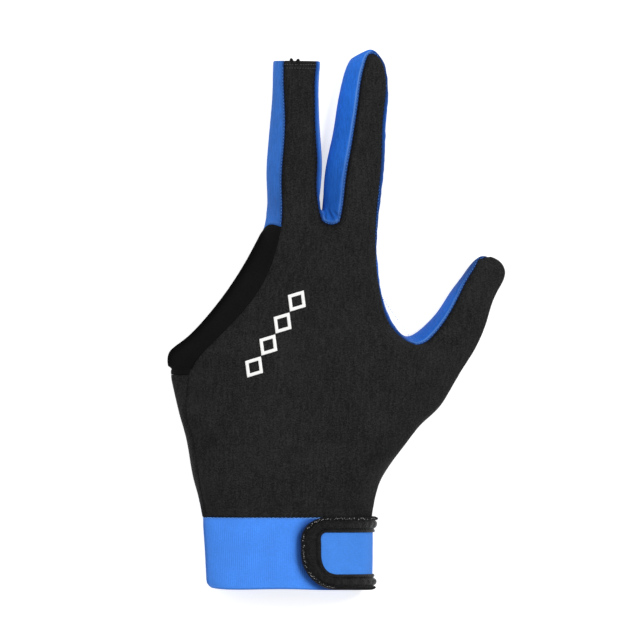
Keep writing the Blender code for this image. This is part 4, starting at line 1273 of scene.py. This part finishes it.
def binding_mesh(wrap):
    """The tape round the strap's edge: an overlocked rim, a puffed roll and a flat inner strip."""
    under, core, over = strap_levels()
    even, line, into = tab_outline()
    width = binding_width(line)
    top = np.array(BINDING_TOP)
    low_side = [(1.0, over[0]), (FOLD_IN, over[0]), (FOLD_IN, under[1]), (1.0, under[1])]
    low_side += [(1.0, under[0]), (RIM_IN, under[0]), (RIM_OUT, 0.5 * core[0])]
    ripples = (1 + wander(even, ROLL_RIPPLE)) * (1 + waves(even, ROLL_SWELL))
    sections = []
    for share, height in top:
        on_roll = ROLL_FROM < share < ROLL_TO
        lift = over[1] + BINDING_LIFT * height * (ripples if on_roll else 1.0)
        lift = np.maximum(lift, core[0]) + 0 * even
        spot = line + into * (share * width)[:, None]
        sections.append(wrap.points(spot[:, 0], spot[:, 1], lift))
    for share, lift in low_side:
        spot = line + into * (share * width)[:, None]
        sections.append(wrap.points(spot[:, 0], spot[:, 1], lift + 0 * even))
    # Painted shade where the binding lies down in its grooves
    shade = [1.0 if h < GROOVE else 0.0 for _, h in BINDING_TOP] + [0.0] * len(low_side)
    shade = np.repeat(np.array(shade)[None], len(even), axis=0)
    return sweep("strap_binding", np.stack(sections, axis=1), shade)


def plate_mesh(name, wrap, first, second, levels, bulge, ribs):
    """A plate over the cuff between two lines of (distance, down), crowned on its upper side."""
    share = np.linspace(0.0, 1.0, ACROSS_STEPS)
    spots = first[:, None] * (1 - share)[None, :, None] + second[:, None] * share[None, :, None]
    rib = 0.5 - 0.5 * np.cos(2 * math.pi * spots[:, :, 0] / RIB_PITCH)
    crown = np.sin(math.pi * share)[None] ** CROWN_ROUNDNESS
    upper = levels[1] + bulge * crown - ribs * rib * crown
    over = wrap.points(spots[:, :, 0], spots[:, :, 1], upper)
    under = wrap.points(spots[:, :, 0], spots[:, :, 1], levels[0] + 0 * upper)
    sections = np.concatenate([over, under[:, ::-1]], axis=1)
    return sweep(name, sections)


def strap_mesh(wrap):
    """The strap's elastic core, inside the fold of its binding."""
    _, core, _ = strap_levels()
    _, line, into = tab_outline()
    inset = line + into * (BINDING_WALL + PIECE_GAP)
    half = len(inset) // 2
    return plate_mesh("strap", wrap, inset[:half], inset[half:][::-1], core, CORE_BULGE, RIB_DEPTH)


def hook_mesh(wrap):
    """The fastening patch under the tab, between the two edges of its binding."""
    under, _, _ = strap_levels()
    near = STRAP_REACH - BINDING_END_WIDTH - PIECE_GAP - HOOK_END_MARGIN
    top = BINDING_WIDTH + PIECE_GAP + HOOK_SIDE_MARGIN
    distance = np.linspace(near - HOOK_LENGTH, near, STRAP_SAMPLES)
    first = np.stack([distance, top + 0 * distance], axis=1)
    second = np.stack([distance, CUFF_LENGTH - top + 0 * distance], axis=1)
    return plate_mesh("hook_patch", wrap, first, second, under, 0.0, HOOK_RIBS)


class Thread:
    """Thin round lengths of thread, gathered into one mesh."""

    def __init__(self):
        self.points = []
        self.faces = []

    def lay(self, path, up, radius, sides=THREAD_SIDES):
        """A length of thread along a path, with rounded ends. Up only settles its turn."""
        path = [Vector(p) for p in path]
        last = len(path) - 1
        base = len(self.points)
        for k, point in enumerate(path):
            ahead = (path[min(k + 1, last)] - path[max(k - 1, 0)]).normalized()
            across = ahead.cross(Vector(up)).normalized()
            rise = across.cross(ahead)
            here = radius * (THREAD_TAPER if k in (0, last) else 1.0)
            for s in range(sides):
                turn = 2 * math.pi * s / sides
                spot = point + across * (here * math.cos(turn)) + rise * (here * math.sin(turn))
                self.points.append((spot.x, spot.y, max(0.0, spot.z)))
        for k in range(last):
            a, b = base + k * sides, base + (k + 1) * sides
            for s in range(sides):
                n = (s + 1) % sides
                self.faces.append((a + s, a + n, b + n, b + s))
        self.faces.append(tuple(base + s for s in reversed(range(sides))))
        self.faces.append(tuple(base + last * sides + s for s in range(sides)))

    def piece(self, name, material, slot):
        return add_piece(name, make_mesh(name, self.points, self.faces), material)


def seam_lines(skin):
    """The seams between panels, apart from those of the opening band, as lines of point numbers."""
    wanted = skin.seam_kinds[:, 1] != BAND
    beside = {}
    for a, b in skin.seams[wanted].tolist():
        beside.setdefault(a, []).append(b)
        beside.setdefault(b, []).append(a)
    lines, used = [], set()
    starts = [v for v, around in beside.items() if len(around) != 2] + list(beside)
    for start in starts:
        for second in beside[start]:
            if (start, second) in used:
                continue
            line = [start, second]
            used |= {(start, second), (second, start)}
            while len(beside[line[-1]]) == 2:
                ahead = [v for v in beside[line[-1]] if v != line[-2]]
                if not ahead or (line[-1], ahead[0]) in used:
                    break
                used |= {(line[-1], ahead[0]), (ahead[0], line[-1])}
                line.append(ahead[0])
            lines.append(line)
    return lines


def stitches_along(thread, points, normals, stitch):
    """Running stitches along a line of points, each an arch that dips into the cloth."""
    steps = np.concatenate([[0.0], np.cumsum(np.linalg.norm(np.diff(points, axis=0), axis=1))])

    def at(distance, values):
        return np.array([np.interp(distance, steps, values[:, k]) for k in range(3)])

    for k in range(int((steps[-1] - stitch.length) / stitch.pitch)):
        begin = (k + 0.5) * stitch.pitch
        path = []
        for share in STITCH_SHARES:
            where = begin + share * stitch.length
            lift = stitch.arch * math.sin(math.pi * share) - STITCH_DIP * stitch.radius
            path.append(at(where, points) + at(where, normals) * lift)
        thread.lay(path, at(begin, normals), stitch.radius)


def seam_thread(skin, material):
    thread = Thread()
    for line in seam_lines(skin):
        if len(line) >= SHORTEST_SEAM:
            stitches_along(thread, skin.points[line], skin.normals[line], SEAM_STITCH)
    return thread.piece("seam_thread", material, "black_binding")


def gusset_thread(skin, material):
    """Small stitches just inside the edges of the blue panels."""
    blue_quads = skin.quads[(skin.panels == GUSSET) | (skin.panels == MIDDLE_GUSSET)]
    towards = np.zeros_like(skin.points)
    centres = skin.points[blue_quads].mean(axis=1)
    for corner in range(4):
        numbers = blue_quads[:, corner]
        np.add.at(towards, numbers, centres - skin.points[numbers])
    thread = Thread()
    for line in seam_lines(skin):
        if len(line) < SHORTEST_SEAM or np.linalg.norm(towards[line], axis=1).min() == 0.0:
            continue
        line = [number for number in line if towards[number][0] < 0.0]
        points, normals = [], []
        for number in line:
            inset = Vector(towards[number]).normalized() * GUSSET_STITCH_INSET
            spot, up, _, _ = skin.tree.find_nearest(Vector(skin.points[number]) + inset)
            points.append(spot)
            normals.append(up)
        points, normals = np.array(points), np.array(normals)
        over = normals[:, 2] > TOP_FACING if len(line) else np.zeros(0, bool)
        if over.sum() > SHORTEST_SEAM:
            first, last = np.flatnonzero(over)[[0, -1]]
            points, normals = points[first:last + 1], normals[first:last + 1]
            stitches_along(thread, points, normals, GUSSET_STITCH)
    return thread.piece("gusset_thread", material, "blue_knit")


def tip_hem(skin, grey, black):
    """Two rows of stitches round the open tip of the middle finger, and its loose thread loops."""
    middle, _, _ = hand_fingers()
    thread, loose = Thread(), Thread()
    draw = np.random.default_rng(TIP_SEED)
    for inset in TIP_HEM_ROWS:
        centre = middle.place(1 - inset / MIDDLE_LENGTH, 0.0, 0.5 * MIDDLE_HEIGHT)
        spots = {BACK: [], PALM: []}
        for turn in np.linspace(0.0, 2 * math.pi, TIP_SAMPLES) - 0.5 * math.pi:
            out = middle.across * math.cos(turn) + Vector((0.0, 0.0, math.sin(turn)))
            spot, up, face, _ = skin.tree.ray_cast(centre + out * TIP_REACH, -out)
            if int(skin.panels[face]) in spots:
                spots[int(skin.panels[face])].append((spot, up))
        for found in spots.values():
            points = np.array([spot for spot, _ in found])
            normals = np.array([up for _, up in found])
            stitch = HEM_STITCH._replace(length=draw.uniform(*HEM_STITCH_LENGTHS))
            stitches_along(thread, points, normals, stitch)
    for loop in LOOPS:
        foot = middle.place(1.0, loop.offset, LOOP_FOOT * MIDDLE_HEIGHT)
        path = []
        for share in np.linspace(0.0, 1.0, LOOP_STEPS):
            rise = math.sin(math.pi * share)
            side = LOOP_HALF_WIDTH * math.cos(math.pi * share) + loop.lean * rise
            path.append(foot + middle.across * side + middle.forward * (loop.tall * rise - LOOP_DEPTH))
        loose.lay(path, (0, 0, 1), LOOP_RADIUS)
    along_hem = []
    for share in np.linspace(0.0, 1.0, LYING_STEPS):
        offset = LYING_FROM + LYING_SPAN * share
        spot, up = skin.over(*middle.place(1 - LYING_INSET / MIDDLE_LENGTH, offset, 0.0)[:2])
        sway = middle.forward * (LYING_SWAY * math.sin(LYING_WAVES * math.pi * share))
        along_hem.append(spot + up * LYING_RADIUS + sway)
    loose.lay(along_hem, (0, 0, 1), LYING_RADIUS)
    thread.piece("fingertip_thread", grey, "black_knit")
    loose.piece("fingertip_loops", black, "black_knit")


def cuff_edge_thread(material):
    """The pale scalloped thread that edges the cuff on its knit side."""
    thread = Thread()
    half_slit = 0.5 * SLIT_WIDTH / (0.5 * WRIST_HEIGHT)
    fine = np.linspace(SLIT_ANGLE + half_slit, SLIT_ANGLE - half_slit + 2 * math.pi, SCALLOP_SAMPLES)
    line = cuff_points(fine, SCALLOP_LEVEL + 0 * fine, 0.0)
    steps = np.concatenate([[0.0], np.cumsum(np.linalg.norm(np.diff(line, axis=0), axis=1))])
    for begin in np.arange(SCALLOP_START, steps[-1] - SCALLOP_PITCH, SCALLOP_PITCH):
        path = []
        for share in np.linspace(0.0, 1.0, SCALLOP_STEPS):
            angle = np.interp(begin + share * SCALLOP_PITCH, steps, fine)
            down = SCALLOP_DOWN - SCALLOP_RISE * math.sin(math.pi * share)
            path.append(Vector(cuff_points(angle, down / CUFF_LENGTH, 0.0)))
        thread.lay(path, (0, 1, 0), SCALLOP_THREAD, FINE_THREAD_SIDES)
    return thread.piece("cuff_edge_thread", material, "blue_elastic")


def overlock(wrap, dark, pale):
    """Slanted threads over the rim of the binding, and the pale filling thread that shows."""
    under, _, over = strap_levels()
    even, line, into = tab_outline()
    width = binding_width(line)
    thread, filling = Thread(), Thread()
    depth = over[1] - under[0]

    def spot(where, share, lift):
        """A point at a distance round the tab's edge, a share of the binding's width in from it."""
        across, down = (
            np.interp(where, even, line[:, k] + into[:, k] * share * width) for k in (0, 1)
        )
        return Vector(wrap.points(across, down, lift))

    for begin in np.arange(OVERLOCK_ENDS[0], even[-1] - OVERLOCK_ENDS[1], OVERLOCK_PITCH):
        path = [
            spot(begin + OVERLOCK_SLANT * share, share, under[0] + depth * height)
            for share, height in OVERLOCK_SHAPE
        ]
        thread.lay(path, (0, 1, 0.2), OVERLOCK_RADIUS, FINE_THREAD_SIDES)
    draw = np.random.default_rng(FILLING_SEED)
    first, last = (share * even[-1] for share in FILLING_SPAN)
    for begin in np.arange(first, last, FILLING_PITCH):
        share = draw.uniform(*FILLING_SHARES)
        long = draw.uniform(*FILLING_LENGTHS)
        if draw.uniform() < FILLING_GAPS:
            continue
        path = [
            spot(begin + part * long, share + FILLING_SLANT * part, over[1] + FILLING_LIFT)
            for part in (0.0, 0.5, 1.0)
        ]
        filling.lay(path, (0, 0, 1), draw.uniform(*FILLING_RADII), FINE_THREAD_SIDES)
    thread.piece("binding_thread", dark, "black_binding")
    filling.piece("binding_filling", pale, "white_print")


def print_lozenges(skin, material):
    """The printed row on the back: thin lozenge outlines that follow the cloth."""
    start = np.array(PRINT_START) * (PALM_WIDTH, PALM_LENGTH)
    end = np.array(PRINT_END) * (PALM_WIDTH, PALM_LENGTH)
    line = (end - start) / np.linalg.norm(end - start)
    square = np.array([-line[1], line[0]])
    half = np.array([line * LOZENGE_LENGTH, square * LOZENGE_WIDTH]) / 2
    corners = np.array([half[0], half[1], -half[0], -half[1], half[0]])
    points, faces = [], []
    for number in range(LOZENGE_COUNT):
        middle = start + (end - start) * (number + 0.5) / LOZENGE_COUNT
        index = []
        for step in range(4 * LOZENGE_STEPS):
            side, share = divmod(step, LOZENGE_STEPS)
            share /= LOZENGE_STEPS
            edge = corners[side] * (1 - share) + corners[side + 1] * share
            index.append(range(len(points), len(points) + len(LOZENGE_SECTION)))
            for scale, lift in LOZENGE_SECTION:
                spot, up = skin.over(*(middle + edge * scale))
                points.append(spot + up * (lift * PRINT_WALL))
        index = np.array(index)
        faces += between(index, np.roll(index, -1, axis=0))
    mesh = make_mesh("print", points, faces)
    return add_piece("print_lozenges", mesh, material)


class Cloth:
    """A procedural cloth finish: layers of grain, tone, painted light and shade, bump and sheen."""

    def __init__(self, name, colour, finish):
        self.material = bpy.data.materials.new(name)
        self.material.use_nodes = True
        self.tree = self.material.node_tree
        self.shader = self.tree.nodes["Principled BSDF"]
        self.place = self.node("ShaderNodeTexCoord").outputs["Object"]
        self.shader.inputs["Roughness"].default_value = finish.roughness
        self.shader.inputs["Specular IOR Level"].default_value = finish.gloss
        self.shader.inputs["Sheen Weight"].default_value = finish.sheen
        self.shader.inputs["Sheen Roughness"].default_value = SHEEN_ROUGHNESS
        self.shader.inputs["Sheen Tint"].default_value = (*[0.5 + 0.5 * c for c in colour], 1.0)
        self.material.diffuse_color = (*colour, 1.0)
        self.colour = colour

    def node(self, kind):
        return self.tree.nodes.new(kind)

    def join(self, out, into):
        self.tree.links.new(out, into)

    def noise(self, layer):
        """Noise with features of about this size in metres, 0 to 1."""
        mapping = self.node("ShaderNodeMapping")
        mapping.inputs["Scale"].default_value = [s / layer.size for s in layer.stretch]
        self.join(self.place, mapping.inputs["Vector"])
        texture = self.node("ShaderNodeTexNoise")
        texture.inputs["Scale"].default_value = 1.0
        texture.inputs["Detail"].default_value = layer.detail
        self.join(mapping.outputs[0], texture.inputs["Vector"])
        return texture.outputs["Fac"]

    def math(self, operation, a, b):
        made = self.node("ShaderNodeMath")
        made.operation = operation
        for value, socket in ((a, made.inputs[0]), (b, made.inputs[1])):
            if isinstance(value, (int, float)):
                socket.default_value = value
            else:
                self.join(value, socket)
        return made.outputs[0]

    def weigh(self, parts):
        """A sum of signals, each less its middle and times its weight, about a middle of 0.5."""
        total = 0.5
        for signal, weight in parts:
            centred = self.math("SUBTRACT", signal, 0.5)
            scaled = self.math("MULTIPLY", centred, weight)
            total = self.math("ADD", scaled, total)
        return total

    def tone(self, signal, spread):
        """The cloth's colour, from darker to lighter over the signal."""
        dark = [c * (1 - spread) for c in self.colour]
        light = [min(1.0, c * (1 + LIGHTER * spread)) for c in self.colour]
        made = self.node("ShaderNodeValToRGB")
        made.color_ramp.elements.new(TONE_STOPS[1])
        for element, stop, colour in zip(
            made.color_ramp.elements, TONE_STOPS, (dark, self.colour, light)
        ):
            element.position = stop
            element.color = (*colour, 1.0)
        self.join(signal, made.inputs["Fac"])
        return made.outputs["Color"]

    def shade(self, painted, shade):
        """The colour so far, blended into the colour of a painted shade or highlight as far as the
        mesh's own value says.
        """
        value = self.node("ShaderNodeAttribute")
        value.attribute_name = shade.value
        made = self.node("ShaderNodeMix")
        made.data_type = "RGBA"
        self.join(self.math("MULTIPLY", value.outputs["Fac"], shade.share), made.inputs["Factor"])
        self.join(painted, made.inputs["A"])
        made.inputs["B"].default_value = (*shade.colour, 1.0)
        return made.outputs["Result"]

    def finish(self, painted, relief, depth, uneven):
        self.join(painted, self.shader.inputs["Base Color"])
        bump = self.node("ShaderNodeBump")
        bump.inputs["Strength"].default_value = 1.0
        bump.inputs["Distance"].default_value = depth
        self.join(relief, bump.inputs["Height"])
        self.join(bump.outputs[0], self.shader.inputs["Normal"])
        base = self.shader.inputs["Roughness"].default_value
        scaled = self.math("MULTIPLY", self.math("SUBTRACT", uneven, 0.5), ROUGHNESS_SPREAD)
        self.join(self.math("ADD", scaled, base), self.shader.inputs["Roughness"])
        return self.material


def cloth_finish(name, colour, kind, shades=()):
    """A material from a finish and its layers, the last of which also varies the roughness."""
    finish, layers = FINISHES[kind]
    cloth = Cloth(name, colour, finish)
    signals = [cloth.noise(layer) for layer in layers]
    in_tone = [(s, layer.in_tone) for s, layer in zip(signals, layers) if layer.in_tone]
    in_relief = [(s, layer.in_relief) for s, layer in zip(signals, layers) if layer.in_relief]
    painted = cloth.tone(cloth.weigh(in_tone), finish.spread)
    for shade in shades:
        painted = cloth.shade(painted, shade)
    return cloth.finish(painted, cloth.weigh(in_relief), finish.depth, signals[-1])


def hook_tape():
    finish, layers = FINISHES["hook_tape"]
    cloth = Cloth("hook_tape", HOOK_BLACK, finish)
    hooks = cloth.node("ShaderNodeTexVoronoi")
    hooks.inputs["Scale"].default_value = HOOKS_PER_METRE
    cloth.join(cloth.place, hooks.inputs["Vector"])
    grain = cloth.noise(layers[0])
    parts = [(hooks.outputs["Distance"], HOOKS_IN_TONE), (grain, layers[0].in_tone)]
    painted = cloth.tone(cloth.weigh(parts), finish.spread)
    return cloth.finish(painted, hooks.outputs["Distance"], finish.depth, grain)


def add_floor():
    half = FLOOR_HALF_SIZE
    mesh = bpy.data.meshes.new("floor")
    corners = [(-half, -half, 0), (half, -half, 0), (half, half, 0), (-half, half, 0)]
    mesh.from_pydata(corners, [], [(0, 1, 2, 3)])
    floor = bpy.data.objects.new("floor", mesh)
    floor.location.z = -FLOOR_DROP
    bpy.context.scene.collection.objects.link(floor)
    material = bpy.data.materials.new("floor")
    material.use_nodes = True
    shader = material.node_tree.nodes["Principled BSDF"]
    shader.inputs["Base Color"].default_value = (FLOOR_TONE, FLOOR_TONE, FLOOR_TONE, 1.0)
    shader.inputs["Emission Color"].default_value = (1.0, 1.0, 1.0, 1.0)
    shader.inputs["Emission Strength"].default_value = FLOOR_GLOW
    shader.inputs["Roughness"].default_value = FLOOR_ROUGHNESS
    shader.inputs["Specular IOR Level"].default_value = FLOOR_GLOSS
    mesh.materials.append(material)


def add_light(lamp):
    light = bpy.data.lights.new(lamp.name, "AREA")
    light.shape = "DISK"
    light.size = lamp.size
    light.energy = lamp.power
    made = bpy.data.objects.new(lamp.name, light)
    made.location = lamp.place
    aim = Vector((0.0, 0.0, AIM_HEIGHT)) - Vector(lamp.place)
    made.rotation_euler = aim.to_track_quat("-Z", "Y").to_euler()
    bpy.context.scene.collection.objects.link(made)


def add_camera():
    data = bpy.data.cameras.new("camera")
    data.lens = LENS
    data.sensor_width = SENSOR
    data.clip_start, data.clip_end = CLIP
    camera = bpy.data.objects.new("camera", data)
    distance = IMAGE_WIDTH * LENS / SENSOR
    across, along = VIEW_CENTRE
    camera.location = (across + SHIFT[0], along + SHIFT[1], FOCUS_HEIGHT + distance)
    bpy.context.scene.collection.objects.link(camera)
    bpy.context.scene.camera = camera


def add_world():
    world = bpy.data.worlds.new("studio")
    world.use_nodes = True
    background = world.node_tree.nodes["Background"]
    background.inputs["Color"].default_value = (1.0, 1.0, 1.0, 1.0)
    background.inputs["Strength"].default_value = WORLD_STRENGTH
    bpy.context.scene.world = world
    bpy.context.scene.view_settings.view_transform = "Standard"


skin = Skin()
SHIFT = (
    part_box("opening_band")[0].x - float(skin.points[:, 0].min()),
    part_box("back_panel")[0].y - float(skin.points[:, 1].min()),
)
knit = cloth_finish("black_knit", BLACK, "knit", KNIT_SHADES)
band = cloth_finish("black_band", BAND_BLACK, "band", BAND_SHADES)
blue = cloth_finish("blue_knit", BLUE, "blue_knit", BLUE_SHADES)
sky = cloth_finish("blue_gusset", SKY_BLUE, "blue_knit", SKY_SHADES)
elastic = cloth_finish("blue_elastic", ELASTIC_BLUE, "elastic", CUFF_SHADES)
core = cloth_finish("strap_elastic_painted_darker", STRAP_BLUE_PAINTED_DARKER, "elastic")
binding = cloth_finish("black_binding", BINDING_BLACK, "binding", BINDING_SHADES)
dark_thread = cloth_finish("black_thread", THREAD_BLACK, "thread")
grey_thread = cloth_finish("grey_thread", THREAD_GREY, "thread")
pale_thread = cloth_finish("pale_thread", THREAD_PALE, "pale_thread")
blue_thread = cloth_finish("blue_thread", THREAD_BLUE, "pale_thread")
edge_thread = cloth_finish("edge_thread", PALE_BLUE, "pale_thread")
ink = cloth_finish("white_print", INK_WHITE, "ink")

cloths = {
    BACK: (knit, "black_knit"), PALM: (knit, "black_knit"), GUSSET: (blue, "blue_knit"),
    MIDDLE_GUSSET: (sky, "blue_knit"), BAND: (band, "black_band"),
}
for number, (material, slot) in cloths.items():
    piece = panel_piece(skin, number, material)

_, strap_core, _ = strap_levels()
wrap = Wrap(strap_core[0])
cuff = add_piece("elastic_cuff", cuff_mesh(wrap), elastic, ("wrist_cuff",))
strap = add_piece("elastic_strap", strap_mesh(wrap), core, ("strap",))
add_piece("bound_edge", binding_mesh(wrap), binding, ("strap_binding",))
add_piece("hook_tape", hook_mesh(wrap), hook_tape(), ("hook_patch",))

seam_thread(skin, dark_thread)
gusset_thread(skin, blue_thread)
tip_hem(skin, grey_thread, dark_thread)
cuff_edge_thread(edge_thread)
overlock(wrap, dark_thread, pale_thread)
print_lozenges(skin, ink)

add_floor()
for lamp in LAMPS:
    add_light(lamp)
add_world()
add_camera()
